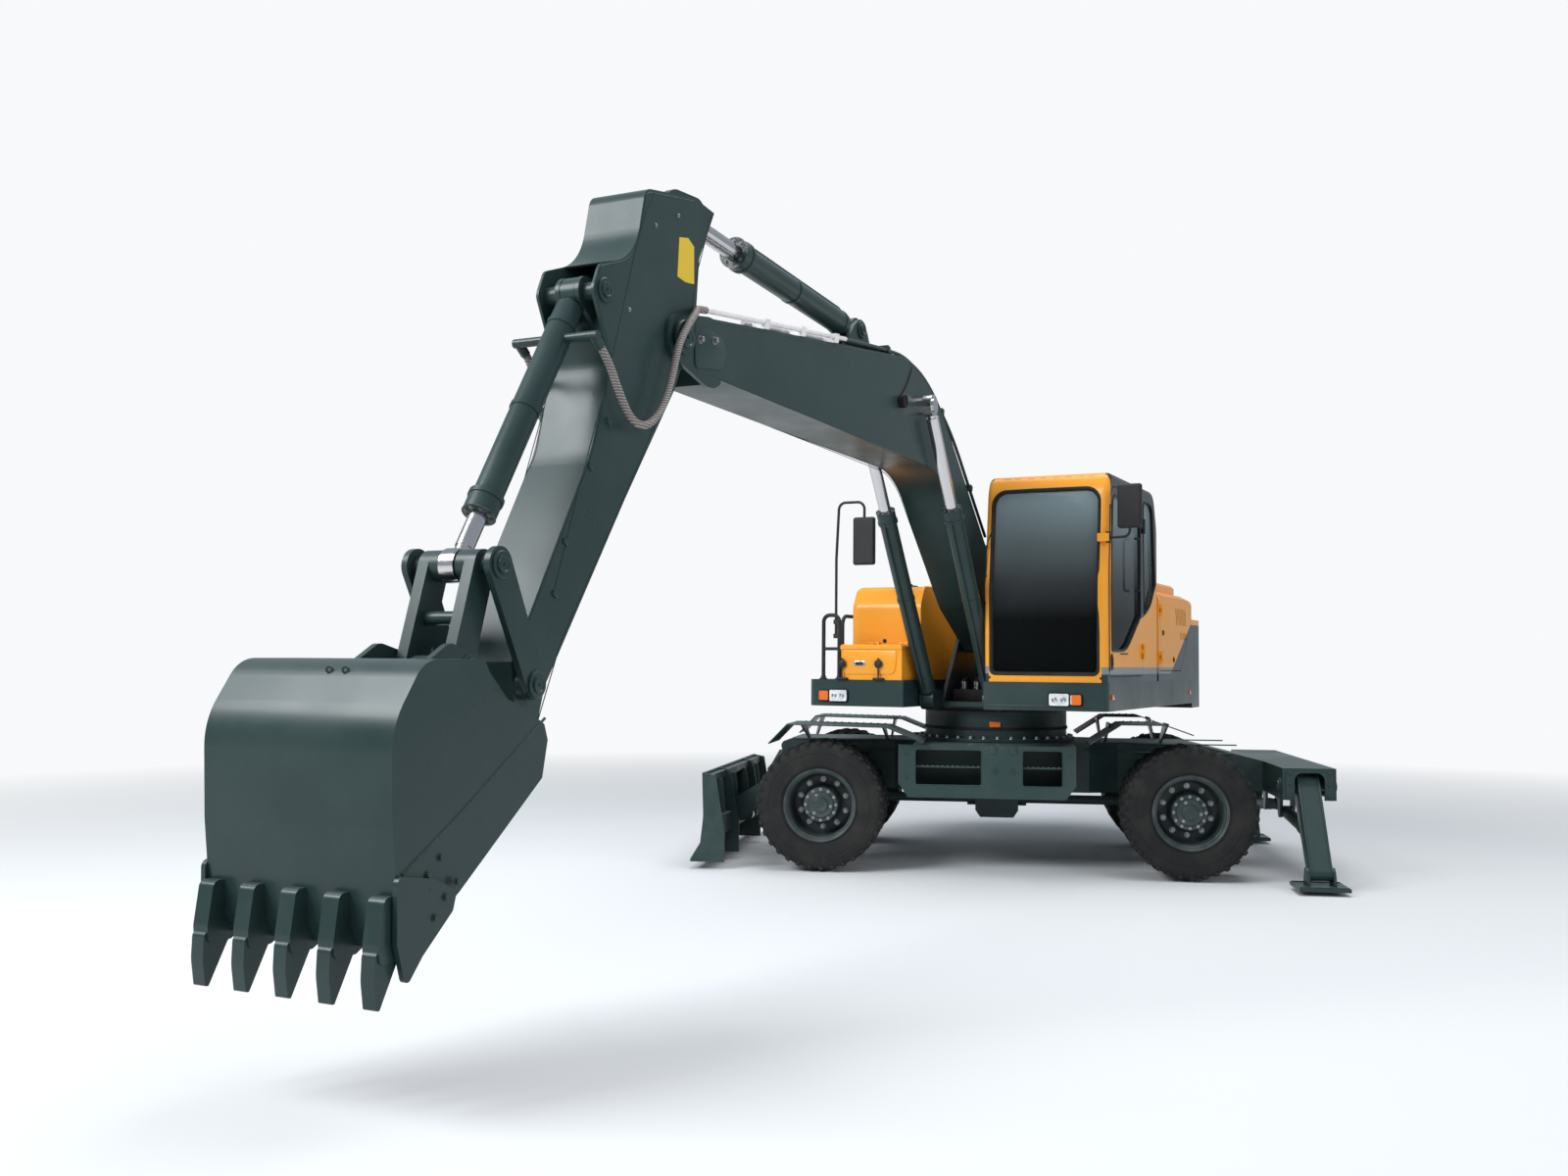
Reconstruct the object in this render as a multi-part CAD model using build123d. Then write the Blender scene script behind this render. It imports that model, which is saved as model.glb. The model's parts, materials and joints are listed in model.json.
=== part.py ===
from build123d import *
import os
from math import atan2, cos, degrees, hypot, pi, radians, sin, sqrt, tan

# ======================================================================
# Wheeled excavator, 20-tonne class.  Millimetres.
# +X is the way the boom and cab face, +Y is the cab side, +Z is up.
# The origin is on the slewing axis at the floor.  The undercarriage is
# drawn facing +X in its own frame and then turned by -HEADING about Z.
# ======================================================================

# ---- running fits and plate ------------------------------------------
RUN = 0.3                # clearance of a pin or rod in its bore
SIDE = 3                 # side clearance between an eye and its ears
HEADING = 71.6           # how far the upper structure is slewed from straight ahead

# ---- undercarriage ------------------------------------------------------
WHEELBASE = 2850
FRONT_AXLE_X = 1375
REAR_AXLE_X = FRONT_AXLE_X - WHEELBASE
TYRE_R = 523
TYRE_WIDTH = 270
TWIN_PITCH = 310         # centre to centre of a pair of tyres
OUTER_TYRE_Y = 1110
RIM_R = 262              # tyre bead seat
AXLE_Z = TYRE_R
KINGPIN_Y = 730
KINGPIN_R = 32
STUB_R = 70
SPINE_HALF = 370
SPINE_BOTTOM = 600
SPINE_TOP = 1010
SPINE_FRONT = 1720
SPINE_REAR = -2150
FRAME_PLATE = 20
STEER_LOCK = 25

BOX_X0, BOX_X1 = -625, 650      # side boxes between the axles
BOX_NOSE_X = 765                # outer panel runs on to here, clear of a steered wheel
BOX_Y = 1085
BOX_Z0, BOX_Z1 = 590, 1005
BOX_BEVEL = 110
BOX_PLATE = 12

RING_R = 600
RING_TOP = 1300
RING_BORE = 520

# ---- blade --------------------------------------------------------------
BLADE_HALF = 1245
BLADE_PIVOT_X, BLADE_PIVOT_Z = 1690, 700
BLADE_X = 2320
BLADE_Z0, BLADE_Z1 = 60, 765
BLADE_ARM_Y = 380
BLADE_ARM_W = 60
BLADE_CYL_Y = 120

# ---- outriggers ---------------------------------------------------------
BEAM_X0, BEAM_X1 = -2540, -2150
BEAM_Z0, BEAM_Z1 = 640, 880
BEAM_END_Y = 1230
LEG_PIVOT_Y, LEG_PIVOT_Z = 1120, 740
LEG_FOOT_Y, LEG_FOOT_Z = 1560, 136
LEG_W = 160
LEG_CYL_BASE_Y, LEG_CYL_BASE_Z = 330, 470
LEG_EYE_Y, LEG_EYE_Z = 1210, 400
PAD_HALF = 180

# ---- upper structure ----------------------------------------------------
DECK_Z0, DECK_Z1 = RING_TOP, 1330
SKIRT_Z1 = 1515
UPPER_FRONT = 1330
UPPER_LEFT = 1304
UPPER_RIGHT = -1200
TAIL_R = 2770
TAIL_Z0 = 1255
TAIL_Z1 = 2080
HOOD_TOP = 2330
CAB_X0, CAB_X1 = -400, 1322
CAB_Y0, CAB_Y1 = 345, UPPER_LEFT
CAB_Z0, CAB_Z1 = SKIRT_Z1 + RUN, 3110
CAB_WALL = 55
SLOT_Y = 345             # half width of the bay that the boom works in

# ---- boom, arm and bucket: pins in the XZ plane ------------------------
FOOT = (204, 1901)
BOOM_LENGTH = 5652
BOOM_ANGLE = 14.58       # chord above the horizontal
BOOM_HALF = 190
ARM_LENGTH = 2409
ARM_ANGLE = -58.03
ARM_HALF = 165
PIN_R = 45

BOOM_CYL_BASE = (880, 1360)
BOOM_CYL_EYE = (2427, 1030)      # along and above the boom chord
BOOM_CYL_Y = 268
ARM_CYL_BASE = (3307, 1218)      # along and above the boom chord
ARM_CYL_EYE = (-800, 120)        # along the arm from the boom tip, and outward
BKT_CYL_BASE = (276, 622)
ROCKER_PIVOT = (2176, 130)
ROCKER_LENGTH = 567
ROCKER_ANGLE = 62.8
BUCKET_LINK_PIN = (385, 318)     # from the bucket pin, in the XZ plane
BUCKET_HALF = 465
ROCKER_Y = 220

# joint travel, degrees from the stored pose (see the sign of each axis)
BOOM_RAISE, BOOM_LOWER = -44, 54
ARM_IN, ARM_OUT = -70, 40
BUCKET_CURL, BUCKET_OPEN = -115, 19
BLADE_UP, BLADE_DOWN = 35, -10
LEG_UP, LEG_DOWN = 60, -6


# ---- places worked out from the sizes ----------------------------------
def polar(start, length, angle):
    """The point length away from start at an angle in the XZ plane."""
    return (start[0] + length * cos(radians(angle)), start[1] + length * sin(radians(angle)))


def local(origin, angle, point):
    """A point given along and above a line through origin at an angle, in XZ."""
    a = radians(angle)
    return (
        origin[0] + point[0] * cos(a) - point[1] * sin(a),
        origin[1] + point[0] * sin(a) + point[1] * cos(a),
    )


def swung(point, pivot, turn):
    """A point of the XZ plane after a turn about a pivot, positive from +X to +Z."""
    return local(pivot, turn, (point[0] - pivot[0], point[1] - pivot[1]))


def gap(a, b):
    return hypot(b[0] - a[0], b[1] - a[1])


TIP = polar(FOOT, BOOM_LENGTH, BOOM_ANGLE)
BUCKET_PIN = polar(TIP, ARM_LENGTH, ARM_ANGLE)
BOOM_EYE = local(FOOT, BOOM_ANGLE, BOOM_CYL_EYE)
ARM_BASE = local(FOOT, BOOM_ANGLE, ARM_CYL_BASE)
ARM_EYE = local(TIP, ARM_ANGLE, ARM_CYL_EYE)
BKT_BASE = local(TIP, ARM_ANGLE, BKT_CYL_BASE)
ROCKER_FOOT = local(TIP, ARM_ANGLE, ROCKER_PIVOT)
ROCKER_TOP = polar(ROCKER_FOOT, ROCKER_LENGTH, ROCKER_ANGLE)
LINK_PIN = (BUCKET_PIN[0] + BUCKET_LINK_PIN[0], BUCKET_PIN[1] + BUCKET_LINK_PIN[1])

# shapes of this file start here
os.makedirs("parts", exist_ok=True)


# ---- shape helpers ------------------------------------------------------
def block(x0, x1, y0, y1, z0, z1):
    """A box between two corners."""
    centre = ((x0 + x1) / 2, (y0 + y1) / 2, (z0 + z1) / 2)
    return Pos(*centre) * Box(x1 - x0, y1 - y0, z1 - z0)


def rod(start, end, radius):
    """A round bar from one point to another."""
    start, end = Vector(*start), Vector(*end)
    length = (end - start).length
    bar = Cylinder(radius, length, align=(Align.CENTER, Align.CENTER, Align.MIN))
    return Plane(origin=start, z_dir=end - start) * bar


def outline(points):
    """A flat outline from rows of (u, v) or (u, v, corner radius)."""
    face = make_face(Polyline(*[(p[0], p[1]) for p in points], close=True))
    for p in points:
        if len(p) == 3:
            corner = face.vertices().sort_by_distance((p[0], p[1], 0))[0]
            face = fillet(corner, p[2])
    return face


def side_plate(face, y0, y1):
    """A flat outline drawn in XZ, as thick as from y0 to y1."""
    return extrude(Pos(0, y1, 0) * (Plane.XZ * face), amount=y1 - y0)


def end_plate(face, x0, x1):
    """A flat outline drawn in YZ, as thick as from x0 to x1."""
    return extrude(Pos(x0, 0, 0) * (Plane.YZ * face), amount=x1 - x0)


def flat_plate(face, z0, z1):
    """A flat outline drawn in XY, as thick as from z0 to z1."""
    return extrude(Pos(0, 0, z0) * face, amount=z1 - z0)


def cross_pin(point, y0, y1, radius):
    """A round pin along Y through a point of the XZ plane."""
    return rod((point[0], y0, point[1]), (point[0], y1, point[1]), radius)


def plate_box(face, half, wall):
    """A closed box girder: an XZ outline, half its width, and its plate."""
    inside = offset(face, amount=-wall)
    return side_plate(face, -half, half) - side_plate(inside, wall - half, half - wall)


def tapered(p, q, r_p, r_q):
    """A flat outline of two round ends joined by straight sides."""
    a = Pos(*p) * Circle(r_p)
    b = Pos(*q) * Circle(r_q)
    return make_hull(a.edges() + b.edges())


def turned(shape):
    """From the undercarriage's own frame to the row's frame."""
    return Rot(0, 0, -HEADING) * shape


def mirrored(shape):
    return mirror(shape, about=Plane.XZ)


# ---- hydraulic cylinders -------------------------------------------------
# Every cylinder is a tube that swings on its base pin and a rod that slides
# in it.  closed and opened are the shortest and longest distance from base
# pin to rod pin.  The rod's eye carries its own stub of pin.
GLAND_LENGTH = 90
ENGAGED = 130            # rod left in the tube when fully out
EYE_CLEAR = 25
ROD_NECK = 15            # from the rod eye to the full rod, past its lugs
NECK = 20                # from the base eye to the full tube, past its ears


def ram(base, eye, pin_dir, closed, opened, tube_r, rod_r, eye_r, base_w, eye_w, pin_r, neck=NECK,
        gland=1.16):
    base, eye, pin = Vector(*base), Vector(*eye), Vector(*pin_dir).normalized()
    run = (eye - base).normalized()
    tube_length = closed - eye_r - EYE_CLEAR
    wall = tube_r * 0.16
    rod_length = min(opened - tube_length + ENGAGED, closed - eye_r - neck - wall - 4)
    tube = rod(base + run * (eye_r + neck), base + run * tube_length, tube_r)
    tube += rod(base, base + run * (eye_r + neck + 5), base_w / 2 - 1)
    tube += rod(base + run * (tube_length - GLAND_LENGTH), base + run * tube_length, tube_r * gland)
    tube += rod(base - pin * base_w / 2, base + pin * base_w / 2, eye_r)
    tube -= rod(
        base + run * (eye_r + neck + wall), base + run * (tube_length - GLAND_LENGTH), tube_r - wall
    )
    tube -= rod(
        base + run * (tube_length - GLAND_LENGTH), base + run * tube_length, rod_r + RUN
    )
    tube -= rod(base - pin * base_w / 2, base + pin * base_w / 2, pin_r + RUN)
    shaft = rod(eye - run * rod_length, eye - run * (eye_r + ROD_NECK), rod_r)
    shaft += rod(eye - run * (eye_r + ROD_NECK + 2), eye, min(rod_r, eye_w / 2 - 1))
    shaft += rod(eye - pin * eye_w / 2, eye + pin * eye_w / 2, eye_r)
    return tube, shaft


def xz(point, y):
    return (point[0], y, point[1])


def reach(base, eye, pivot, turns):
    """Shortest and longest distance from base to an eye that turns about a pivot."""
    lengths = [gap(base, swung(eye, pivot, turn)) for turn in turns]
    return min(lengths), max(lengths)


BARREL_WALL = 6


def hinge(length, pin_r, leaf, drop, moving_drop):
    """A pin along Z: (fixed side towards -X, moving side towards +X).

    leaf is how far the straps reach, the drops how far below the pin they seat."""
    barrel = pin_r + BARREL_WALL
    third = length / 3
    fixed = Cylinder(pin_r, length)
    moving = None
    for z in (-third, third):
        fixed += Pos(0, 0, z) * Cylinder(barrel, third)
        fixed += Pos(-leaf / 2, -drop / 2, z) * Box(leaf, drop, third)
    middle = third - 2 * SIDE
    moving = Cylinder(barrel, middle) + Pos(leaf / 2, -moving_drop / 2, 0) * Box(leaf, moving_drop, middle)
    moving -= Cylinder(pin_r + RUN, length)
    return fixed, moving


parts = {}

# ======================================================================
# UNDERCARRIAGE
# ======================================================================

# ---- chassis frame: a plate box spine that narrows between the wheels ----
NOTCH_HALF = 260         # arch over each axle
NOTCH_TOP = 760
REAR_SLOPE_X = -1600
BLADE_PIN_R = 40
BLADE_CYL_BASE = (1790, 930)
BLADE_EYE = (2130, 330)
SMALL_PIN_R = 28
SMALL_EYE_W = 60
EAR = 22

# columns: x, half width
SPINE_PLAN = [
    (SPINE_REAR, 400),
    (-1950, SPINE_HALF),
    (-1000, SPINE_HALF),
    (-760, 480),
    (600, 480),
    (840, SPINE_HALF),
    (SPINE_FRONT, 330),
]
NOSE_HALF = 332

spine_face = outline(SPINE_PLAN + [(x, -half) for x, half in reversed(SPINE_PLAN)])
spine_side = outline([
    (SPINE_REAR, SPINE_BOTTOM + 40),
    (REAR_AXLE_X - NOTCH_HALF, SPINE_BOTTOM),
    (REAR_AXLE_X - NOTCH_HALF, NOTCH_TOP),
    (REAR_AXLE_X + NOTCH_HALF, NOTCH_TOP),
    (REAR_AXLE_X + NOTCH_HALF, SPINE_BOTTOM),
    (FRONT_AXLE_X - NOTCH_HALF, SPINE_BOTTOM),
    (FRONT_AXLE_X - NOTCH_HALF, NOTCH_TOP),
    (FRONT_AXLE_X + NOTCH_HALF, NOTCH_TOP),
    (FRONT_AXLE_X + NOTCH_HALF, SPINE_BOTTOM),
    (SPINE_FRONT, SPINE_BOTTOM),
    (SPINE_FRONT, SPINE_TOP),
    (REAR_SLOPE_X, SPINE_TOP),
    (SPINE_REAR, BEAM_Z1),
])
FULL = 1500
frame = flat_plate(spine_face, 0, FULL) & side_plate(spine_side, -FULL, FULL)
hollow = flat_plate(offset(spine_face, amount=-FRAME_PLATE), 0, FULL)
hollow &= side_plate(offset(spine_side, amount=-FRAME_PLATE), -FULL, FULL)
frame -= hollow
for side in (-1, 1):
    arm_y = side * BLADE_ARM_Y
    inner, outer = side * (NOSE_HALF - 4), side * (BLADE_ARM_Y - BLADE_ARM_W / 2 - SIDE)
    pivot = (BLADE_PIVOT_X, BLADE_PIVOT_Z)
    frame += cross_pin(pivot, inner, outer, BLADE_PIN_R + 35)
    frame += cross_pin(pivot, inner, arm_y + side * BLADE_ARM_W / 2, BLADE_PIN_R)
    cyl_y = side * BLADE_CYL_Y
    for edge in (-1, 1):
        near = cyl_y + edge * (SMALL_EYE_W / 2 + SIDE)
        ear = tapered((SPINE_FRONT - 5, BLADE_CYL_BASE[1]), BLADE_CYL_BASE, 70, 48)
        ear_plate = side_plate(ear, min(near, near + edge * EAR), max(near, near + edge * EAR))
        frame += ear_plate & block(SPINE_FRONT - 6, 2000, -FULL, FULL, 0, FULL)
    reach_y = SMALL_EYE_W / 2 + SIDE + EAR
    frame += cross_pin(BLADE_CYL_BASE, cyl_y - reach_y, cyl_y + reach_y, SMALL_PIN_R)
    # brackets for the outrigger rams under the spine's tail
    leg_x = (BEAM_X0 + BEAM_X1) / 2
parts["chassis_frame"] = turned(frame)

# ---- slewing ring and its pedestal ----------------------------------------
ring = Cylinder(RING_R, RING_TOP - RUN - SPINE_TOP, align=(Align.CENTER, Align.CENTER, Align.MIN))
ring -= Cylinder(RING_BORE, RING_TOP, align=(Align.CENTER, Align.CENTER, Align.MIN))
flange = Cylinder(RING_R + 70, 25, align=(Align.CENTER, Align.CENTER, Align.MIN))
flange -= Cylinder(RING_BORE, 25, align=(Align.CENTER, Align.CENTER, Align.MIN))
parts["slew_ring"] = turned(Pos(0, 0, SPINE_TOP) * (ring + flange))

# ---- side boxes with two step windows each --------------------------------
# columns: front edge, rear edge of a window along X
STEP_WINDOWS = [(110, 630), (-520, -210)]
STEP_Z0, STEP_Z1 = 690, 970
RUNG = 36
RUNG_BACK = 70           # how far a rung stands behind the panel


def side_box():
    section = outline([
        (BOX_X0, BOX_Z1), (BOX_X0, BOX_Z0 + BOX_BEVEL), (BOX_X0 + BOX_BEVEL * 0.7, BOX_Z0),
        (BOX_X1, BOX_Z0), (BOX_X1, BOX_Z1),
    ])
    body = side_plate(section, 480, BOX_Y - BOX_PLATE)
    inside = offset(section, amount=-BOX_PLATE)
    body -= side_plate(inside, 480 + BOX_PLATE, BOX_Y)
    panel = side_plate(
        outline([
            (BOX_X0, BOX_Z1), (BOX_X0, BOX_Z0 + BOX_BEVEL), (BOX_X0 + BOX_BEVEL * 0.7, BOX_Z0),
            (BOX_NOSE_X - BOX_BEVEL * 0.7, BOX_Z0), (BOX_NOSE_X, BOX_Z0 + BOX_BEVEL),
            (BOX_NOSE_X, BOX_Z1),
        ]),
        BOX_Y - BOX_PLATE, BOX_Y,
    )
    middle = (STEP_Z0 + STEP_Z1) / 2
    for x0, x1 in STEP_WINDOWS:
        face = outline([(x0, STEP_Z0, 18), (x1, STEP_Z0, 18), (x1, STEP_Z1, 18), (x0, STEP_Z1, 18)])
        panel -= side_plate(face, BOX_Y - BOX_PLATE, BOX_Y)
        back = BOX_Y - BOX_PLATE - RUNG_BACK
        panel += block(x0 - 14, x1 + 14, back, back + RUNG, middle - 6, middle + 6)
        for x in (x0 - 14, x1 + 4):
            panel += block(x, x + 10, back, BOX_Y - BOX_PLATE, middle - 20, middle + 20)
    return body + panel


left_box = side_box()
parts["side_boxes"] = turned(Compound([left_box, mirrored(left_box)]))

# ---- step plates over the wheels -------------------------------------------
STEP_T = 10
STEP_Y0, STEP_Y1 = 620, 1235
FRONT_STEP = [(560, 1035), (850, 1150), (1640, 1165), (1790, 1010)]
REAR_STEP = [(-720, 1040), (-960, 1195), (-1290, 1195), (-1500, 1120)]
BRACKET = 16


def step_plate(line):
    lower = [(x, z - STEP_T) for x, z in reversed(line)]
    plate = side_plate(outline(line + lower), STEP_Y0, STEP_Y1)
    (x0, z0), (x1, z1) = line[1], line[2]
    for x in (x0 + 60, x1 - 60):
        z = z0 + (z1 - z0) * (x - x0) / (x1 - x0) - STEP_T
        web = outline([(SPINE_HALF - 40, SPINE_TOP), (STEP_Y0 + 260, z + 1), (STEP_Y0 - 60, z + 1),
                       (SPINE_HALF - 140, SPINE_TOP)])
        plate += end_plate(web, x - BRACKET / 2, x + BRACKET / 2)
    return plate


left_steps = [step_plate(FRONT_STEP), step_plate(REAR_STEP)]
parts["step_plates"] = turned(Compound(left_steps + [mirrored(s) for s in left_steps]))

# ---- axles, knuckles and propeller shafts ------------------------------------
BULB_R = 175
TUBE_R = 85
YOKE_HALF = 80
LUG_GAP = 130            # from the axle line to a yoke lug
LUG_T = 45
BARREL_R = 75
HUB_INNER_Y = 850
STUB_END_Y = 1065
NOSE_R = 70
SHAFT_Z = 500


def axle_body(x, tube_end):
    body = Pos(x, 0, AXLE_Z) * Sphere(BULB_R)
    body += rod((x, -tube_end, AXLE_Z), (x, tube_end, AXLE_Z), TUBE_R)
    body += block(x - 120, x + 120, -110, 110, AXLE_Z + 120, NOTCH_TOP)
    toward = -1 if x > 0 else 1
    body += rod((x, 0, SHAFT_Z), (x + toward * (BULB_R + 60), 0, SHAFT_Z), NOSE_R)
    return body


front_axle = axle_body(FRONT_AXLE_X, 612)
for side in (-1, 1):
    y0, y1 = sorted((side * 600, side * 645))
    front_axle += block(
        FRONT_AXLE_X - YOKE_HALF, FRONT_AXLE_X + YOKE_HALF, y0, y1,
        AXLE_Z - LUG_GAP - LUG_T, AXLE_Z + LUG_GAP + LUG_T,
    )
    for up in (-1, 1):
        z0, z1 = sorted((AXLE_Z + up * LUG_GAP, AXLE_Z + up * (LUG_GAP + LUG_T)))
        lug = tapered((FRONT_AXLE_X, side * 640), (FRONT_AXLE_X, side * KINGPIN_Y), 78, 70)
        front_axle += flat_plate(lug, z0, z1) & block(
            0, 2000, *sorted((side * 610, side * 900)), z0, z1
        )
        front_axle += rod(
            (FRONT_AXLE_X, side * KINGPIN_Y, AXLE_Z + up * 65),
            (FRONT_AXLE_X, side * KINGPIN_Y, AXLE_Z + up * (LUG_GAP + LUG_T)), KINGPIN_R,
        )
# steering ram behind the axle
STEER_RAM_X = FRONT_AXLE_X - 150
front_axle += rod((STEER_RAM_X, -300, AXLE_Z), (STEER_RAM_X, 300, AXLE_Z), 45)
front_axle += rod((STEER_RAM_X, -470, AXLE_Z), (STEER_RAM_X, 470, AXLE_Z), 22)
for y in (-240, 240):
    front_axle += block(STEER_RAM_X, FRONT_AXLE_X, y - 15, y + 15, AXLE_Z - 40, AXLE_Z + 40)
parts["front_axle"] = turned(front_axle)

rear_axle = axle_body(REAR_AXLE_X, STUB_END_Y - 100)
rear_axle -= rod((REAR_AXLE_X, 700, AXLE_Z), (REAR_AXLE_X, 1200, AXLE_Z), 200)
rear_axle -= rod((REAR_AXLE_X, -700, AXLE_Z), (REAR_AXLE_X, -1200, AXLE_Z), 200)
for side in (-1, 1):
    rear_axle += rod(
        (REAR_AXLE_X, side * 690, AXLE_Z), (REAR_AXLE_X, side * (HUB_INNER_Y - SIDE), AXLE_Z), 110
    )
    rear_axle += rod(
        (REAR_AXLE_X, side * 690, AXLE_Z), (REAR_AXLE_X, side * STUB_END_Y, AXLE_Z), STUB_R
    )


def knuckle():
    body = rod(
        (FRONT_AXLE_X, KINGPIN_Y, AXLE_Z - LUG_GAP + SIDE),
        (FRONT_AXLE_X, KINGPIN_Y, AXLE_Z + LUG_GAP - SIDE), BARREL_R,
    )
    body += rod(
        (FRONT_AXLE_X, KINGPIN_Y, AXLE_Z), (FRONT_AXLE_X, HUB_INNER_Y - SIDE, AXLE_Z), 95
    ) & block(0, 2000, KINGPIN_Y, 900, AXLE_Z - LUG_GAP + SIDE, AXLE_Z + LUG_GAP - SIDE)
    body += rod((FRONT_AXLE_X, KINGPIN_Y, AXLE_Z), (FRONT_AXLE_X, STUB_END_Y, AXLE_Z), STUB_R)
    for up in (-1, 1):
        body -= rod(
            (FRONT_AXLE_X, KINGPIN_Y, AXLE_Z + up * (65 - RUN)),
            (FRONT_AXLE_X, KINGPIN_Y, AXLE_Z + up * LUG_GAP), KINGPIN_R + RUN,
        )
    return body


parts["knuckle_left"] = turned(knuckle())
parts["knuckle_right"] = turned(mirrored(knuckle()))

# transfer gearbox under the spine and the two propeller shafts
GEARBOX_Z0 = 350
gearbox = block(-190, 170, -190, 190, GEARBOX_Z0 + 60, SPINE_BOTTOM)
gearbox += side_plate(outline([(-150, GEARBOX_Z0), (130, GEARBOX_Z0), (170, GEARBOX_Z0 + 60),
                               (-190, GEARBOX_Z0 + 60)]), -150, 150)
for x0, x1 in ((170, FRONT_AXLE_X - BULB_R - 60), (-190, REAR_AXLE_X + BULB_R + 60)):
    step = 1 if x1 > x0 else -1
    x1 -= step * RUN
    gearbox += rod((x0 - step * 5, 0, SHAFT_Z), (x1, 0, SHAFT_Z), 38)
    gearbox += rod((x0 - step * 5, 0, SHAFT_Z), (x0 + step * 70, 0, SHAFT_Z), 60)
    gearbox += rod((x1 - step * 70, 0, SHAFT_Z), (x1, 0, SHAFT_Z), 60)
parts["rear_axle"] = turned(Compound([rear_axle, gearbox]))

# ---- twin wheels: two rims on one hub, two tyres -------------------------------
FLANGE_R = 285
RIM_INNER_R = 247
HUB_R = 150
TWIN_Y = OUTER_TYRE_Y - TWIN_PITCH / 2
HUB_CAP_Y = 1190
BEAD_HALF = 112

# columns: offset from the tyre's middle, radius; one tyre's section
TYRE_SECTION = [
    (-BEAD_HALF + 1, RIM_R + RUN), (-BEAD_HALF + 1, 290), (-TYRE_WIDTH / 2, 385), (-127, 488),
    (-108, TYRE_R), (108, TYRE_R), (127, 488), (TYRE_WIDTH / 2, 385), (BEAD_HALF - 1, 290),
    (BEAD_HALF - 1, RIM_R + RUN),
]


def turned_ring(section, x):
    """A section of (y, radius) rows spun about a wheel's axis at x."""
    face = Plane.XY * make_face(Polyline(*[(r, y) for y, r in section], close=True))
    return Pos(x, 0, AXLE_Z) * revolve(face, Axis.Y)


def rim_edge(middle):
    """The outer side of one rim, from its outboard flange to its inboard flange."""
    return [
        (middle + BEAD_HALF + 16, FLANGE_R), (middle + BEAD_HALF + 2, FLANGE_R),
        (middle + BEAD_HALF, RIM_R), (middle - BEAD_HALF, RIM_R),
        (middle - BEAD_HALF - 2, FLANGE_R), (middle - BEAD_HALF - 16, FLANGE_R),
    ]


INNER_TYRE_Y = OUTER_TYRE_Y - TWIN_PITCH
RIM_SECTION = (
    rim_edge(OUTER_TYRE_Y)
    + [(TWIN_Y + 22, 255), (TWIN_Y - 22, 255)]
    + rim_edge(INNER_TYRE_Y)
    + [
        (INNER_TYRE_Y - BEAD_HALF - 16, RIM_INNER_R), (TWIN_Y - 14, RIM_INNER_R),
        (TWIN_Y - 14, HUB_R), (HUB_INNER_Y, HUB_R), (HUB_INNER_Y, STUB_R + RUN),
        (STUB_END_Y + 5, STUB_R + RUN), (STUB_END_Y + 5, 0), (HUB_CAP_Y, 0),
        (HUB_CAP_Y, 95), (HUB_CAP_Y - 22, 135), (TWIN_Y + 110, HUB_R), (TWIN_Y + 14, HUB_R),
        (TWIN_Y + 30, 215), (TWIN_Y + 60, RIM_INNER_R),
        (OUTER_TYRE_Y + BEAD_HALF + 16, RIM_INNER_R + 12),
    ]
)
for where, x in (("front", FRONT_AXLE_X), ("rear", REAR_AXLE_X)):
    rim = turned_ring(RIM_SECTION, x)
    tyres = [
        turned_ring([(middle + y, r) for y, r in TYRE_SECTION], x)
        for middle in (OUTER_TYRE_Y, INNER_TYRE_Y)
    ]
    parts[f"rims_{where}_left"] = turned(rim)
    parts[f"rims_{where}_right"] = turned(mirrored(rim))
    parts[f"tyres_{where}_left"] = turned(Compound(tyres))
    parts[f"tyres_{where}_right"] = turned(Compound([mirrored(t) for t in tyres]))

# ---- dozer blade and its two rams --------------------------------------------
MOULD_T = 22
GUSSET_T = 20
mould = outline([
    (BLADE_X, BLADE_Z1), (BLADE_X - 12, 420, 500), (BLADE_X + 12, 200), (BLADE_X + 95, BLADE_Z0),
    (BLADE_X + 60, BLADE_Z0), (BLADE_X - 12, 200), (BLADE_X - 36, 420, 500),
    (BLADE_X - MOULD_T, BLADE_Z1),
])
blade = side_plate(mould, -BLADE_HALF, BLADE_HALF)
gusset = outline([
    (BLADE_X, BLADE_Z1), (BLADE_X - 110, BLADE_Z1 - 20), (BLADE_X - 185, 300),
    (BLADE_X - 185, BLADE_Z0), (BLADE_X + 85, BLADE_Z0), (BLADE_X + 10, 205),
    (BLADE_X - 20, 420),
])
for side in (-1, 1):
    y0, y1 = sorted((side * (BLADE_HALF - GUSSET_T), side * BLADE_HALF))
    blade += side_plate(gusset, y0, y1)
    y0, y1 = sorted((side * 560, side * (560 + GUSSET_T)))
    blade += side_plate(gusset, y0, y1)
blade += block(BLADE_X - 125, BLADE_X - 15, -BLADE_HALF + 5, BLADE_HALF - 5, 250, 400)
blade += block(BLADE_X - 75, BLADE_X - 15, -BLADE_HALF + 5, BLADE_HALF - 5, 690, 745)
for side in (-1, 1):
    pivot = (BLADE_PIVOT_X, BLADE_PIVOT_Z)
    y0, y1 = side * BLADE_ARM_Y - BLADE_ARM_W / 2, side * BLADE_ARM_Y + BLADE_ARM_W / 2
    arm_face = tapered(pivot, (BLADE_X - 95, 380), 82, 95)
    blade += side_plate(arm_face, y0, y1)
    blade -= cross_pin(pivot, y0, y1, BLADE_PIN_R + RUN)
    for edge in (-1, 1):
        near = side * BLADE_CYL_Y + edge * (SMALL_EYE_W / 2 + SIDE)
        ear = tapered((BLADE_X - 60, BLADE_EYE[1]), BLADE_EYE, 60, 45)
        blade += side_plate(ear, min(near, near + edge * EAR), max(near, near + edge * EAR))
parts["dozer_blade"] = turned(blade)

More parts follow.
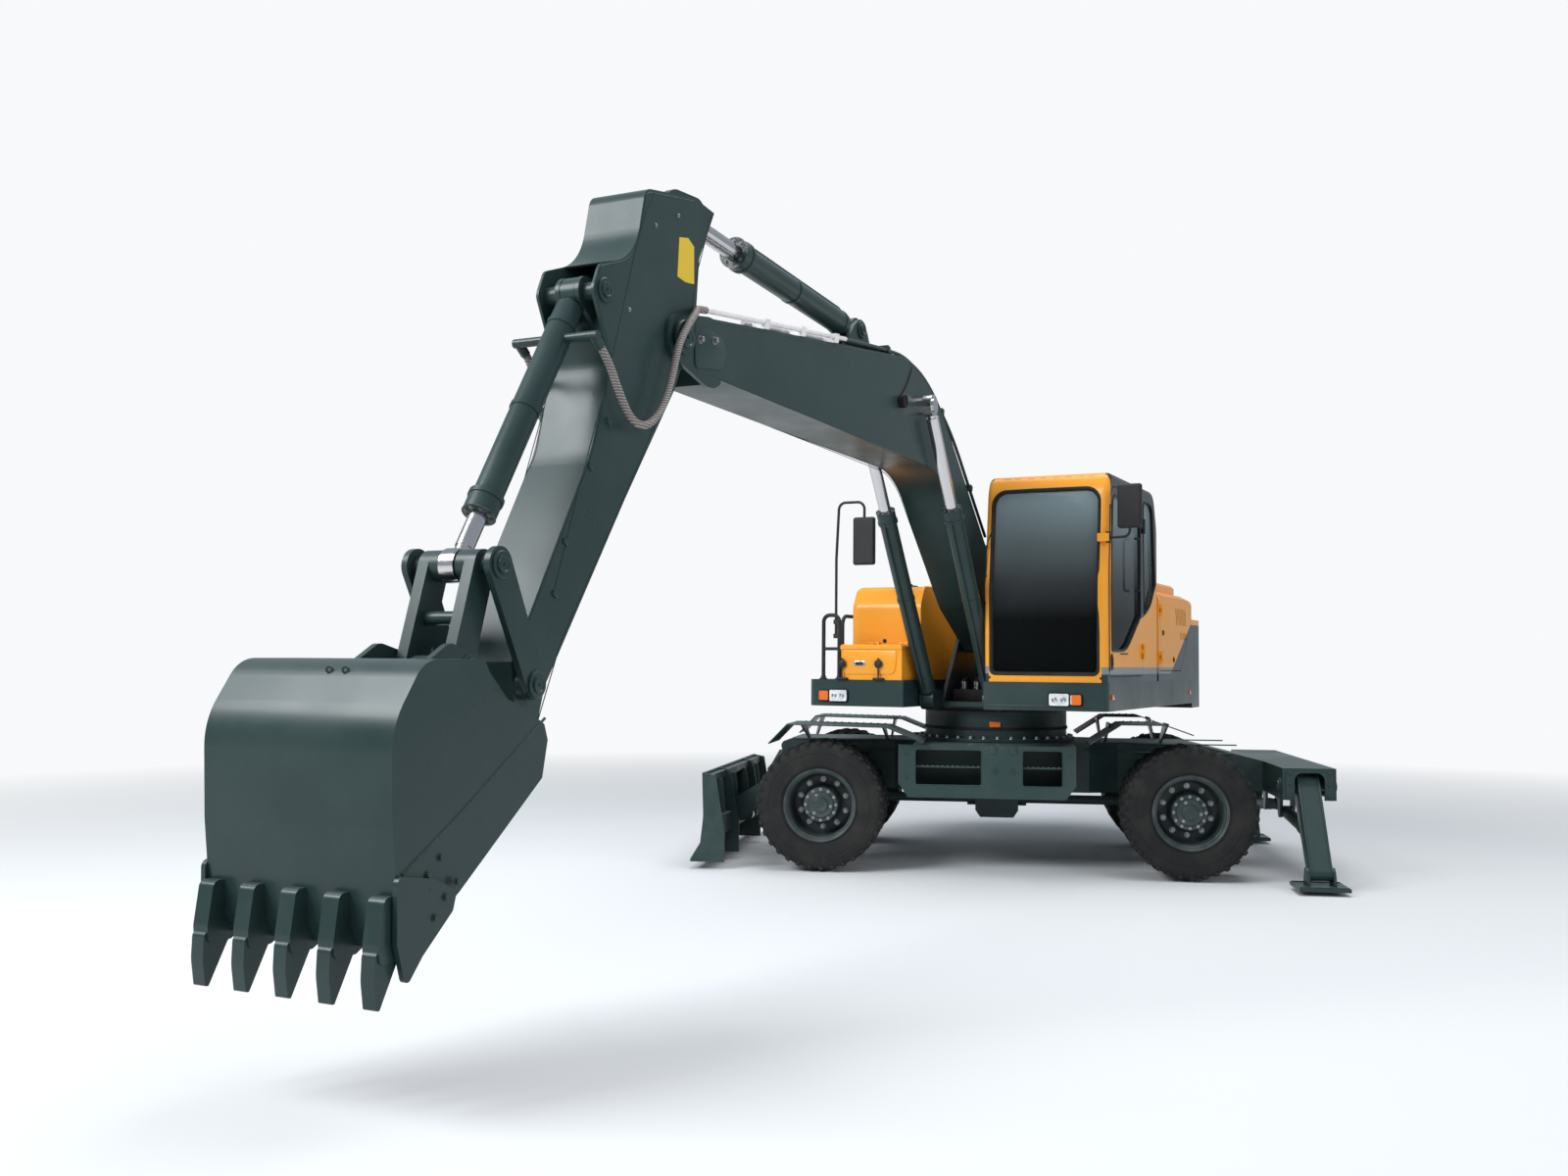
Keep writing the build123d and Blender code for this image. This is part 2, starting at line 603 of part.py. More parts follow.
closed, opened = reach(BLADE_CYL_BASE, BLADE_EYE, (BLADE_PIVOT_X, BLADE_PIVOT_Z),
                       (BLADE_UP, BLADE_DOWN))
tubes, rods = [], []
for y in (-BLADE_CYL_Y, BLADE_CYL_Y):
    tube, shaft = ram(xz(BLADE_CYL_BASE, y), xz(BLADE_EYE, y), (0, 1, 0), closed, opened,
                      44, 27, 46, SMALL_EYE_W, SMALL_EYE_W, SMALL_PIN_R)
    tubes.append(tube)
    rods.append(shaft)
parts["blade_ram_tubes"] = turned(Compound(tubes))
parts["blade_ram_rods"] = turned(Compound(rods))

# ---- outriggers: a cross beam, two legs, two pads, two rams ---------------------
BEAM_PLATE = 16
LEG_X = (BEAM_X0 + BEAM_X1) / 2
LEG_PIN_R = 34
PAD_PIN_R = 26
LEG_RAM_W = 70
beam = block(BEAM_X0, BEAM_X1, -BEAM_END_Y, BEAM_END_Y, BEAM_Z0, BEAM_Z1)
beam -= block(BEAM_X0 + BEAM_PLATE, BEAM_X1 - BEAM_PLATE, -700, 700,
              BEAM_Z0 + BEAM_PLATE, BEAM_Z1 - BEAM_PLATE)
for side in (-1, 1):
    y0, y1 = sorted((side * (700 + BEAM_PLATE), side * (BEAM_END_Y - BEAM_PLATE)))
    beam -= block(BEAM_X0 + BEAM_PLATE, BEAM_X1 - BEAM_PLATE, y0, y1, 0, BEAM_Z1 - BEAM_PLATE)
    y0, y1 = sorted((side * (BEAM_END_Y - BEAM_PLATE), side * BEAM_END_Y))
    mouth = outline([(LEG_X - 110, 0), (LEG_X + 110, 0), (LEG_X + 110, BEAM_Z1 - 34, 60),
                     (LEG_X - 110, BEAM_Z1 - 34, 60)])
    beam -= side_plate(mouth, y0, y1)
    beam += rod((BEAM_X0 + 5, side * LEG_PIVOT_Y, LEG_PIVOT_Z),
                (BEAM_X1 - 5, side * LEG_PIVOT_Y, LEG_PIVOT_Z), LEG_PIN_R)
    for x in (LEG_X - LEG_RAM_W / 2 - SIDE - EAR, LEG_X + LEG_RAM_W / 2 + SIDE):
        ear = tapered((side * LEG_CYL_BASE_Y, BEAM_Z0 + 5), (side * LEG_CYL_BASE_Y, LEG_CYL_BASE_Z),
                      75, 50)
        beam += end_plate(ear, x, x + EAR) & block(-3000, 0, -FULL, FULL, 0, BEAM_Z0 + 1)
    half = LEG_RAM_W / 2 + SIDE + EAR
    beam += rod((LEG_X - half, side * LEG_CYL_BASE_Y, LEG_CYL_BASE_Z),
                (LEG_X + half, side * LEG_CYL_BASE_Y, LEG_CYL_BASE_Z), SMALL_PIN_R)
parts["outrigger_beam"] = turned(beam)

leg = end_plate(tapered((LEG_PIVOT_Y, LEG_PIVOT_Z), (LEG_FOOT_Y, LEG_FOOT_Z), 82, 50),
                LEG_X - LEG_W / 2, LEG_X + LEG_W / 2)
leg -= rod((LEG_X - 300, LEG_PIVOT_Y, LEG_PIVOT_Z), (LEG_X + 300, LEG_PIVOT_Y, LEG_PIVOT_Z),
           LEG_PIN_R + RUN)
leg -= rod((LEG_X - 300, LEG_FOOT_Y, LEG_FOOT_Z), (LEG_X + 300, LEG_FOOT_Y, LEG_FOOT_Z),
           PAD_PIN_R + RUN)
for x in (LEG_X - LEG_RAM_W / 2 - SIDE - EAR, LEG_X + LEG_RAM_W / 2 + SIDE):
    ear = tapered((LEG_EYE_Y + 120, LEG_EYE_Z), (LEG_EYE_Y, LEG_EYE_Z), 80, 48)
    leg += end_plate(ear, x, x + EAR)

PAD_Z0, PAD_T = 30, 26
PAD_EAR = 20
pad = block(LEG_X - PAD_HALF, LEG_X + PAD_HALF, LEG_FOOT_Y - PAD_HALF, LEG_FOOT_Y + PAD_HALF,
            PAD_Z0, PAD_Z0 + PAD_T)
for x in (LEG_X - LEG_W / 2 - SIDE - PAD_EAR, LEG_X + LEG_W / 2 + SIDE):
    ear = tapered((LEG_FOOT_Y, PAD_Z0 + PAD_T), (LEG_FOOT_Y, LEG_FOOT_Z), 80, 48)
    pad += end_plate(ear, x, x + PAD_EAR) & block(
        -3000, 0, 0, 3000, PAD_Z0 + PAD_T - 1, 500
    )
half = LEG_W / 2 + SIDE + PAD_EAR
pad += rod((LEG_X - half, LEG_FOOT_Y, LEG_FOOT_Z), (LEG_X + half, LEG_FOOT_Y, LEG_FOOT_Z), PAD_PIN_R)

closed, opened = reach((LEG_CYL_BASE_Y, LEG_CYL_BASE_Z), (LEG_EYE_Y, LEG_EYE_Z),
                       (LEG_PIVOT_Y, LEG_PIVOT_Z), (LEG_UP, LEG_DOWN))
tube, shaft = ram((LEG_X, LEG_CYL_BASE_Y, LEG_CYL_BASE_Z), (LEG_X, LEG_EYE_Y, LEG_EYE_Z),
                  (1, 0, 0), closed, opened, 50, 28, 46, LEG_RAM_W, LEG_RAM_W, SMALL_PIN_R)
for name, shape in (("outrigger_leg", leg), ("outrigger_pad", pad),
                    ("outrigger_ram_tube", tube), ("outrigger_ram_rod", shaft)):
    parts[f"{name}_left"] = turned(shape)
    parts[f"{name}_right"] = turned(mirrored(shape))

# tow hitch behind the beam
HITCH_X = BEAM_X0 - 105
HITCH_BORE_R = 25
hitch = flat_plate(tapered((BEAM_X0 + 100, 0), (HITCH_X, 0), 130, 55), 700, 745)
hitch &= block(-3000, BEAM_X0, -300, 300, 700, 745)
hitch -= rod((HITCH_X, 0, 690), (HITCH_X, 0, 760), HITCH_BORE_R)
parts["tow_hitch"] = turned(hitch)

# ======================================================================
# UPPER STRUCTURE
# ======================================================================

# ---- deck: a U of box pods round the bay that the boom works in ------------
POD_FRONT_RIGHT = 1270
DECK_REAR = -1850
BAY_REAR = -350
FOOT_PLATE = 30
FOOT_Y = BOOM_HALF + SIDE
POD_PLATE = 20
deck_plan = outline([
    (UPPER_FRONT, SLOT_Y), (UPPER_FRONT, UPPER_LEFT, 90), (DECK_REAR, UPPER_LEFT),
    (DECK_REAR, UPPER_RIGHT), (POD_FRONT_RIGHT, UPPER_RIGHT, 120), (POD_FRONT_RIGHT, -SLOT_Y),
    (BAY_REAR, -SLOT_Y), (BAY_REAR, SLOT_Y),
])
deck = flat_plate(deck_plan, DECK_Z0, SKIRT_Z1)
deck -= flat_plate(offset(deck_plan, amount=-POD_PLATE), DECK_Z0 + POD_PLATE, SKIRT_Z1 - POD_PLATE)
BAY_FLOOR_X = 740
deck += block(BAY_REAR, BAY_FLOOR_X, -SLOT_Y, SLOT_Y, DECK_Z0, DECK_Z0 + 40)
foot_plate = outline([
    (BAY_REAR - 5, DECK_Z0 + 10), (BAY_FLOOR_X - 10, DECK_Z0 + 10), (BAY_FLOOR_X - 10, DECK_Z0 + 70),
    (FOOT[0] + 190, FOOT[1] - 60), (FOOT[0] + 95, FOOT[1] + 95, 70), (FOOT[0] - 95, FOOT[1] + 95, 70),
    (BAY_REAR - 5, SKIRT_Z1),
])
for side in (-1, 1):
    y0, y1 = sorted((side * FOOT_Y, side * (FOOT_Y + FOOT_PLATE)))
    deck += side_plate(foot_plate, y0, y1)
deck += cross_pin(FOOT, -FOOT_Y - FOOT_PLATE, FOOT_Y + FOOT_PLATE, 55)
BASE_EYE_W = 68
BASE_EYE_R = 78
for side in (-1, 1):
    for near in (BASE_EYE_W / 2 + SIDE, -BASE_EYE_W / 2 - SIDE - EAR):
        y = side * BOOM_CYL_Y
        lo, hi = sorted((y + side * near, y + side * (near + EAR)))
        ear = tapered((BAY_FLOOR_X - 130, DECK_Z0 + 62), BOOM_CYL_BASE, 60, 84)
        deck += side_plate(ear, lo, hi)
    y0, y1 = sorted((side * (BOOM_CYL_Y - BASE_EYE_W / 2 - SIDE - EAR), side * SLOT_Y))
    deck += cross_pin(BOOM_CYL_BASE, y0, y1 + (5 if side > 0 else 0), PIN_R)
parts["turntable_deck"] = deck

# ---- cab: a hollow shell with its windows and door cut ------------------------
WINDSCREEN = (400, 1238, 1575, 2990)      # y0, y1, z0, z1
DOOR = (190, 1255, 1560, 3010)            # x0, x1, z0, z1 of the doorway
DOOR_GAP = 6
DOOR_T = 45
REAR_SIDE_WINDOW = (-300, 120, 2310, 2990)
GLASS_T = 6
cab_side = outline([
    (CAB_X1, CAB_Z0), (CAB_X1 + 8, 2250, 900), (CAB_X1 - 75, 2990, 300), (CAB_X1 - 130, CAB_Z1, 90),
    (CAB_X0 + 120, CAB_Z1, 160), (CAB_X0, 2800, 300), (CAB_X0, CAB_Z0),
])
cab = side_plate(cab_side, CAB_Y0, CAB_Y1)
long_edges = [e for e in cab.edges() if e.center().Z > CAB_Z0 + 100
              and abs(abs(e.center().Y - (CAB_Y0 + CAB_Y1) / 2) - (CAB_Y1 - CAB_Y0) / 2) < 1]
cab = fillet(long_edges, 45)
cab_inside = side_plate(offset(cab_side, amount=-CAB_WALL), CAB_Y0 + CAB_WALL, CAB_Y1 - CAB_WALL)
cab -= cab_inside
y0, y1, z0, z1 = WINDSCREEN
screen_face = outline([(y0, z0, 40), (y1, z0, 40), (y1, z1, 110), (y0, z1, 110)])
cab -= end_plate(screen_face, CAB_X1 - 300, CAB_X1 + 100)
x0, x1, z0, z1 = DOOR
door_hole = outline([(x0, z0, 30), (x1, z0, 30), (x1 + 8, 2250, 900), (x1 - 60, z1, 120), (x0, z1, 60)])
cab -= side_plate(door_hole, CAB_Y1 - CAB_WALL, CAB_Y1 + 10)
x0, x1, z0, z1 = REAR_SIDE_WINDOW
rear_side = outline([(x0, z0, 40), (-110, 2140, 250), (x1, 2055, 25), (x1, z1, 40), (x0 + 90, z1, 120)])
cab -= side_plate(rear_side, CAB_Y1 - CAB_WALL, CAB_Y1 + 10)
right_window = outline([(-250, 2000, 40), (1130, 2000, 40), (1130, 2950, 100), (-250, 2950, 100)])
cab -= side_plate(right_window, CAB_Y0 - 10, CAB_Y0 + CAB_WALL)
rear_window = outline([(CAB_Y0 + 120, 2350, 40), (CAB_Y1 - 120, 2350, 40),
                       (CAB_Y1 - 120, 2880, 80), (CAB_Y0 + 120, 2880, 80)])
cab -= end_plate(rear_window, CAB_X0 - 10, CAB_X0 + CAB_WALL + 60)
cab += block(CAB_X1 - 40, CAB_X1 + 40, CAB_Y1 - 60, CAB_Y1 + 26, 2570, 2630) - cab_inside
DOOR_HINGES = (1760, 2780)
DOOR_PIN_OUT = 16.5
DOOR_AXIS = (DOOR[0] - 8, CAB_Y1 + DOOR_PIN_OUT)
fixed, moving = hinge(120, 9, 42, DOOR_PIN_OUT + 2, DOOR_PIN_OUT - 1)
door_leaves = []
for z in DOOR_HINGES:
    cab += Pos(*DOOR_AXIS, z) * fixed
    door_leaves.append(Pos(*DOOR_AXIS, z) * moving)
parts["cab_shell"] = cab

# glass stands in the middle of the wall, a hair smaller than its opening
PANE_GAP = 0.3


def pane(face, place, start):
    return place(offset(face, amount=-PANE_GAP), start, start + GLASS_T)


screen = pane(screen_face, end_plate, CAB_X1 - 200)
screen = side_plate(offset(cab_side, amount=-24), CAB_Y0, CAB_Y1) - side_plate(
    offset(cab_side, amount=-24 - GLASS_T), CAB_Y0 - 5, CAB_Y1 + 5)
screen &= end_plate(offset(screen_face, amount=-PANE_GAP), CAB_X1 - 300, CAB_X1 + 100)
glass = [
    screen,
    pane(rear_side, side_plate, CAB_Y1 - 30),
    pane(right_window, side_plate, CAB_Y0 + 24),
    pane(rear_window, end_plate, CAB_X0 + 24),
]
parts["cab_glass"] = Compound(glass)

# ---- cab door, hinged at its rear edge -----------------------------------------
DOOR_FRAME = 55
door_face = offset(door_hole, amount=-DOOR_GAP)
door = side_plate(door_face, CAB_Y1 - DOOR_T, CAB_Y1 + 2)
x0, x1, z0, z1 = DOOR
door_window = outline([
    (x1 - DOOR_FRAME - 10, z0 + 205, 45), (x1 - DOOR_FRAME + 2, 2250, 800),
    (x1 - 60 - DOOR_FRAME, z1 - DOOR_FRAME - 10, 90), (x0 + DOOR_FRAME, z1 - DOOR_FRAME - 10, 60),
    (x0 + DOOR_FRAME, 2040, 25), (720, z0 + 200, 620),
])
door -= side_plate(door_window, CAB_Y1 - DOOR_T - 5, CAB_Y1 + 10)
for leaf in door_leaves:
    door += leaf
parts["cab_door"] = door
parts["door_glass"] = pane(door_window, side_plate, CAB_Y1 - 26)

# ---- operator's station ----------------------------------------------------------
FLOOR_Z = CAB_Z0 + CAB_WALL + RUN
seat_y = (CAB_Y0 + CAB_Y1) / 2
seat = block(180, 640, seat_y - 240, seat_y + 240, 1990, 2110)
seat += side_plate(outline([(90, 2080), (200, 2080), (120, 2700, 40), (30, 2700, 40)]),
                   seat_y - 230, seat_y + 230)
seat += side_plate(outline([(50, 2690), (120, 2690), (105, 2900, 30), (45, 2900, 30)]),
                   seat_y - 130, seat_y + 130)
console = block(230, 600, seat_y - 170, seat_y + 170, FLOOR_Z, 1990 - RUN)
console += block(-100, 20, seat_y - 300, seat_y + 300, FLOOR_Z, 1900)
console += block(0, 250, seat_y - 120, seat_y + 120, FLOOR_Z, 1700)
for side in (-1, 1):
    y = seat_y + side * 320
    console += block(150, 620, y - 55, y + 55, 1960, 2190)
    console += block(250, 420, *sorted((seat_y + side * 165, y)), 1960, 1985)
    console += rod((560, y, 2180), (575, y, 2330), 22)
console += rod((1018, seat_y, FLOOR_Z - 30), (820, seat_y, 2240), 45) & block(
    0, 1500, CAB_Y0, CAB_Y1, FLOOR_Z, 2500)
wheel_plane = Plane(origin=(812, seat_y, 2262), z_dir=(-0.27, 0, 1))
console += wheel_plane * Torus(185, 14)
console += wheel_plane * Box(360, 40, 12)
console += wheel_plane * Cylinder(45, 50)
parts["operator_station"] = Compound([seat, console])

# ---- bodywork behind the cab, engine and counterweight ---------------------------
BAY_SKIN = 35
BODY_FRONT = -440
BODY_REAR = DECK_REAR
BODY_Z0 = SKIRT_Z1
HOOD_X0, HOOD_X1 = -1830, -900
HOOD_SKIN = 30
LEFT_DOOR = (-1780, -500, 1600, 2250)
RIGHT_DOOR = (-1780, -500, 1600, 2200)
section = outline([
    (UPPER_RIGHT, BODY_Z0), (UPPER_LEFT - 4, BODY_Z0), (UPPER_LEFT - 4, HOOD_TOP - 90, 60),
    (UPPER_LEFT - 120, HOOD_TOP - HOOD_SKIN, 60), (UPPER_RIGHT + 120, HOOD_TOP - HOOD_SKIN, 60),
    (UPPER_RIGHT, HOOD_TOP - 90, 60),
])
body = end_plate(section, BODY_REAR, BODY_FRONT)
body -= end_plate(offset(section, amount=-BAY_SKIN), BODY_REAR + BAY_SKIN, BODY_FRONT - BAY_SKIN)
body -= block(HOOD_X0 + 60, HOOD_X1 - 60, UPPER_RIGHT + 190, UPPER_LEFT - 200, HOOD_TOP - 200, HOOD_TOP + 50)


def service_door(size, gap_all):
    x0, x1, z0, z1 = size
    slant = (z1 - z0) * 0.6
    return offset(outline([(x0 + 420, z0), (x1, z0), (x1, z1, 50), (x0, z1, 90), (x0, z0 + slant)]),
                  amount=-gap_all)


for size, y0, y1 in ((LEFT_DOOR, UPPER_LEFT - 100, UPPER_LEFT + 50),
                     (RIGHT_DOOR, UPPER_RIGHT - 50, UPPER_RIGHT + 100)):
    body -= side_plate(service_door(size, 0), y0, y1)

DOOR_SKIN = 30
SERVICE_HINGES = (1720, 2120)
SERVICE_AXIS_X = LEFT_DOOR[1] - 2
SERVICE_PIN_OUT = 15
# slanted air slots pressed into each door; columns: first x, count, z0, z1
LOUVRES = [(-1610, 8, 2010, 2160), (-1610, 5, 1880, 1945)]
LOUVRE_PITCH = 58
LOUVRE_W = 24
LOUVRE_DEEP = 7
fixed, moving = hinge(100, 8, 40, SERVICE_PIN_OUT + 2, SERVICE_PIN_OUT + 1)
service_doors = {}
for name, size, face_y, inward in (("left", LEFT_DOOR, UPPER_LEFT - 4, -1),
                                   ("right", RIGHT_DOOR, UPPER_RIGHT, 1)):
    y0, y1 = sorted((face_y, face_y + inward * DOOR_SKIN))
    door = side_plate(service_door(size, DOOR_GAP), y0, y1)
    for first, count, z0, z1 in LOUVRES:
        for x in [first + i * LOUVRE_PITCH for i in range(count)]:
            lean = (z1 - z0) * 0.3
            slot = outline([(x, z0), (x + LOUVRE_W, z0), (x + LOUVRE_W + lean, z1), (x + lean, z1)])
            door -= side_plate(slot, face_y - LOUVRE_DEEP, face_y + LOUVRE_DEEP)
    for z in SERVICE_HINGES:
        # the fixed leaf lies ahead of the pin, the moving one behind it
        spot = Pos(SERVICE_AXIS_X, face_y - inward * SERVICE_PIN_OUT, z)
        turn = Rot(0, 180, 0) if inward < 0 else Rot(0, 0, 180)
        body += spot * turn * fixed
        door += spot * turn * moving
    service_doors[name] = door
parts["side_door_left"] = service_doors["left"]
parts["side_door_right"] = service_doors["right"]

hood = block(HOOD_X0, HOOD_X1, UPPER_RIGHT + 140, UPPER_LEFT - 150, HOOD_TOP - HOOD_SKIN + RUN, HOOD_TOP + 60)
hood = chamfer(hood.edges().filter_by(Axis.Z), 60)
hood = chamfer(hood.faces().sort_by(Axis.Z)[-1].edges(), 25)
HOOD_PIN_UP = 16
HOOD_AXIS = (HOOD_X1 + 24, HOOD_TOP - HOOD_SKIN + HOOD_PIN_UP)
fixed, moving = hinge(160, 9, 60, HOOD_PIN_UP + 2, HOOD_PIN_UP - 2)
along_y = Rot(0, 0, 180) * Rot(90, 0, 0)
for y in (-600, 650):
    spot = Pos(HOOD_AXIS[0], y, HOOD_AXIS[1])
    body += spot * along_y * fixed
    hood += spot * along_y * moving
parts["engine_hood"] = hood
parts["rear_bodywork"] = body

engine = block(-1700, -1050, -520, 620, BODY_Z0 + BAY_SKIN + RUN, 2080)
engine += block(-1600, -1150, -450, 560, 2080, 2200)
parts["engine_block"] = engine

# counterweight: a casting with a round tail and a wing under each side door
tail_corner = sqrt(TAIL_R**2 - 1240**2)
with BuildLine() as tail_line:
    Line((DECK_REAR, -1200), (-2200, -1200))
    a = Line((-2200, -1200), (-2420, -1120))
    ThreePointArc(a @ 1, (-TAIL_R, 0), (-2420, 1180))
    Line((-2420, 1180), (-2200, 1300))
    Line((-2200, 1300), (DECK_REAR, 1300))
    Line((DECK_REAR, 1300), (DECK_REAR, -1200))
tail_plan = make_face(tail_line.line)
tail = flat_plate(tail_plan, TAIL_Z0, TAIL_Z1)
tail &= side_plate(outline([
    (DECK_REAR, TAIL_Z0), (-2500, TAIL_Z0), (-3000, TAIL_Z0 + 150), (-3000, TAIL_Z1 - 60),
    (-2600, TAIL_Z1), (DECK_REAR, TAIL_Z1 + 200),
]), -FULL, FULL)
parts["counterweight"] = tail

# ---- right side: tank housing, toolbox and its lid ---------------------------------
TANK_X1 = 850
TOOL_X1 = 1262
TANK_Y0, TANK_Y1 = -990, -SLOT_Y - 15
TOOL_Y0 = -890
TOOL_TOP = 1800
TANK_TOP = 2290
SHEET = 12
tank_side = outline([
    (BODY_FRONT + 10, SKIRT_Z1), (TANK_X1, SKIRT_Z1), (TANK_X1, 2130, 120),
    (TANK_X1 - 90, TANK_TOP, 90), (BODY_FRONT + 10, TANK_TOP),
])
tank = side_plate(tank_side, TANK_Y0, TANK_Y1)
top_edges = [e for e in tank.edges() if e.center().Z > 1900 and abs(e.center().Y - TANK_Y0) < 1]
tank = fillet(top_edges, 60)
tank -= side_plate(offset(tank_side, amount=-70), TANK_Y0 + 70, TANK_Y1 - 20)
LID_T = 40
LID_GAP = 1.2
tool_side = outline([(TANK_X1 + 2, SKIRT_Z1), (TOOL_X1, SKIRT_Z1), (TOOL_X1, TOOL_TOP - LID_T),
                     (TANK_X1 + 2, TOOL_TOP - LID_T)])
toolbox = side_plate(tool_side, TOOL_Y0, TANK_Y1)
toolbox -= side_plate(outline([(TANK_X1 + 2 + SHEET, SKIRT_Z1 + SHEET), (TOOL_X1 - SHEET, SKIRT_Z1 + SHEET),
                               (TOOL_X1 - SHEET, TOOL_TOP), (TANK_X1 + 2 + SHEET, TOOL_TOP)]),
                      TOOL_Y0 + SHEET, TANK_Y1 - SHEET)
LID_PIN_UP = 14
LID_AXIS = (TANK_X1 + 17, TOOL_TOP + LID_PIN_UP)
fixed, moving = hinge(120, 7, 30, LID_PIN_UP - 2, LID_PIN_UP + 1)
for y in (-780, -480):
    spot = Pos(LID_AXIS[0], y, LID_AXIS[1])
    tank += (spot * Rot(90, 0, 0) * fixed) & block(TANK_X1 - 5, TOOL_X1, -FULL, FULL, 0, 3000)
lid = block(TANK_X1 + 8, TOOL_X1 + 6, TOOL_Y0 - 6, TANK_Y1, TOOL_TOP - LID_T + LID_GAP, TOOL_TOP)
lid = chamfer(lid.faces().sort_by(Axis.Z)[-1].edges(), 12)
for y in (-780, -480):
    lid += Pos(LID_AXIS[0], y, LID_AXIS[1]) * Rot(90, 0, 0) * moving
parts["toolbox_lid"] = lid
parts["tank_housing"] = Compound([tank, toolbox])

# ---- handrails, mirrors and lamps -----------------------------------------------------
RAIL_R = 16
RAIL_X = 1225
RAIL_Y = (-1066, -925)
RAIL_TOP = 2040
MIRROR_TOP = 2960


def bent_tube(points, bend, radius):
    path = FilletPolyline(*points, radius=bend)
    section = Plane(origin=path @ 0, z_dir=path % 0) * Circle(radius)
    return sweep(section, path=path)


rails = bent_tube([(RAIL_X, RAIL_Y[0], SKIRT_Z1), (RAIL_X, RAIL_Y[0], RAIL_TOP),
                   (RAIL_X, RAIL_Y[1], RAIL_TOP), (RAIL_X, RAIL_Y[1], SKIRT_Z1)], 55, RAIL_R)
rails += rod((RAIL_X, RAIL_Y[0], 1765), (RAIL_X, RAIL_Y[1], 1765), RAIL_R - 3)
deck_rail = bent_tube([(TANK_X1 - 120, -1120, SKIRT_Z1), (TANK_X1 - 120, -1120, 2050),
                       (-250, -1120, 2050), (-250, -1120, SKIRT_Z1)], 80, RAIL_R)

MIRROR_POST_Y = RAIL_Y[1] - 30
rails += bent_tube([(RAIL_X, MIRROR_POST_Y, 1850), (RAIL_X, MIRROR_POST_Y, 2500),
                    (RAIL_X + 15, MIRROR_POST_Y + 30, MIRROR_TOP), (RAIL_X + 15, -700, MIRROR_TOP),
                    (RAIL_X + 15, -700, 2830)], 60, 11)
for z in (1870, 1985):
    rails += block(RAIL_X - 18, RAIL_X + 18, MIRROR_POST_Y - 16, RAIL_Y[1], z - 18, z + 18)
rails += Pos(RAIL_X + 15, -700, 2640) * fillet(Box(50, 190, 390).edges(), 20)
left_mirror = bent_tube([(CAB_X1, CAB_Y1 + 26 + RUN, 2600), (CAB_X1, CAB_Y1 + 175, 2600),
                         (CAB_X1, CAB_Y1 + 175, 2720)], 50, 10)
left_mirror += Pos(CAB_X1, CAB_Y1 + 175, 2830) * fillet(Box(55, 180, 330).edges(), 20)
parts["rails_and_mirrors"] = Compound([rails, deck_rail, left_mirror])

# columns: x of the face it sits on, y middle, z middle, width, height
LAMPS = [
    (UPPER_FRONT, 945, 1385, 150, 90), (UPPER_FRONT, 1075, 1385, 80, 75),
    (POD_FRONT_RIGHT, -905, 1385, 150, 90), (POD_FRONT_RIGHT, -1035, 1385, 80, 75),
]
LAMP_D = 22
lamps = []
for x, y, z, width, height in LAMPS:
    lamp = Pos(x + LAMP_D / 2, y, z) * Box(LAMP_D, width, height)
    lamps.append(fillet(lamp.edges().filter_by(Axis.X), 12))
parts["lamps"] = Compound(lamps)

# ======================================================================
# WORKING ARM
# ======================================================================

# ---- boom: a cranked plate box, drawn along its chord ------------------------------------
BOOM_PLATE = 12
TIP_FORK_Y = ARM_HALF + SIDE
BOOM_SLOT_X = 5150
BOOM_OUTLINE = [
    (600, 420), (2400, 1405, 1200), (5560, 175, 60), (5480, -120, 60), (5300, -60, 300),
    (1921, 732, 700), (700, 30, 400), (0, -150), (0, 165),
]


def on_boom(shape):
    """From the boom's chord frame, drawn in XZ at the foot pin, to the row."""
    return Pos(FOOT[0], 0, FOOT[1]) * Rot(0, -BOOM_ANGLE, 0) * shape


def on_arm(shape):
    return Pos(TIP[0], 0, TIP[1]) * Rot(0, -ARM_ANGLE, 0) * shape


boom_face = outline(BOOM_OUTLINE)
boom = plate_box(boom_face, BOOM_HALF, BOOM_PLATE)
boom += cross_pin((0, 0), -BOOM_HALF, BOOM_HALF, 155)
boom -= cross_pin((0, 0), -BOOM_HALF, BOOM_HALF, 55 + RUN)
# tip fork: two plates either side of the arm, with the tip pin
fork = tapered((5350, 60), (BOOM_LENGTH, 0), 190, 125)
boom -= side_plate(outline([(BOOM_SLOT_X, -600), (5900, -600), (5900, 600), (BOOM_SLOT_X, 600)]), -TIP_FORK_Y, TIP_FORK_Y)
for side in (-1, 1):
    y0, y1 = sorted((side * TIP_FORK_Y, side * BOOM_HALF))
    boom += side_plate(fork, y0, y1) & block(5200, 6200, -FULL, FULL, -FULL, FULL)
boom += block(BOOM_SLOT_X - BOOM_PLATE, BOOM_SLOT_X, -TIP_FORK_Y - 1, TIP_FORK_Y + 1, -22, 330)
boom += cross_pin((BOOM_LENGTH, 0), -BOOM_HALF - 20, BOOM_HALF + 20, PIN_R)
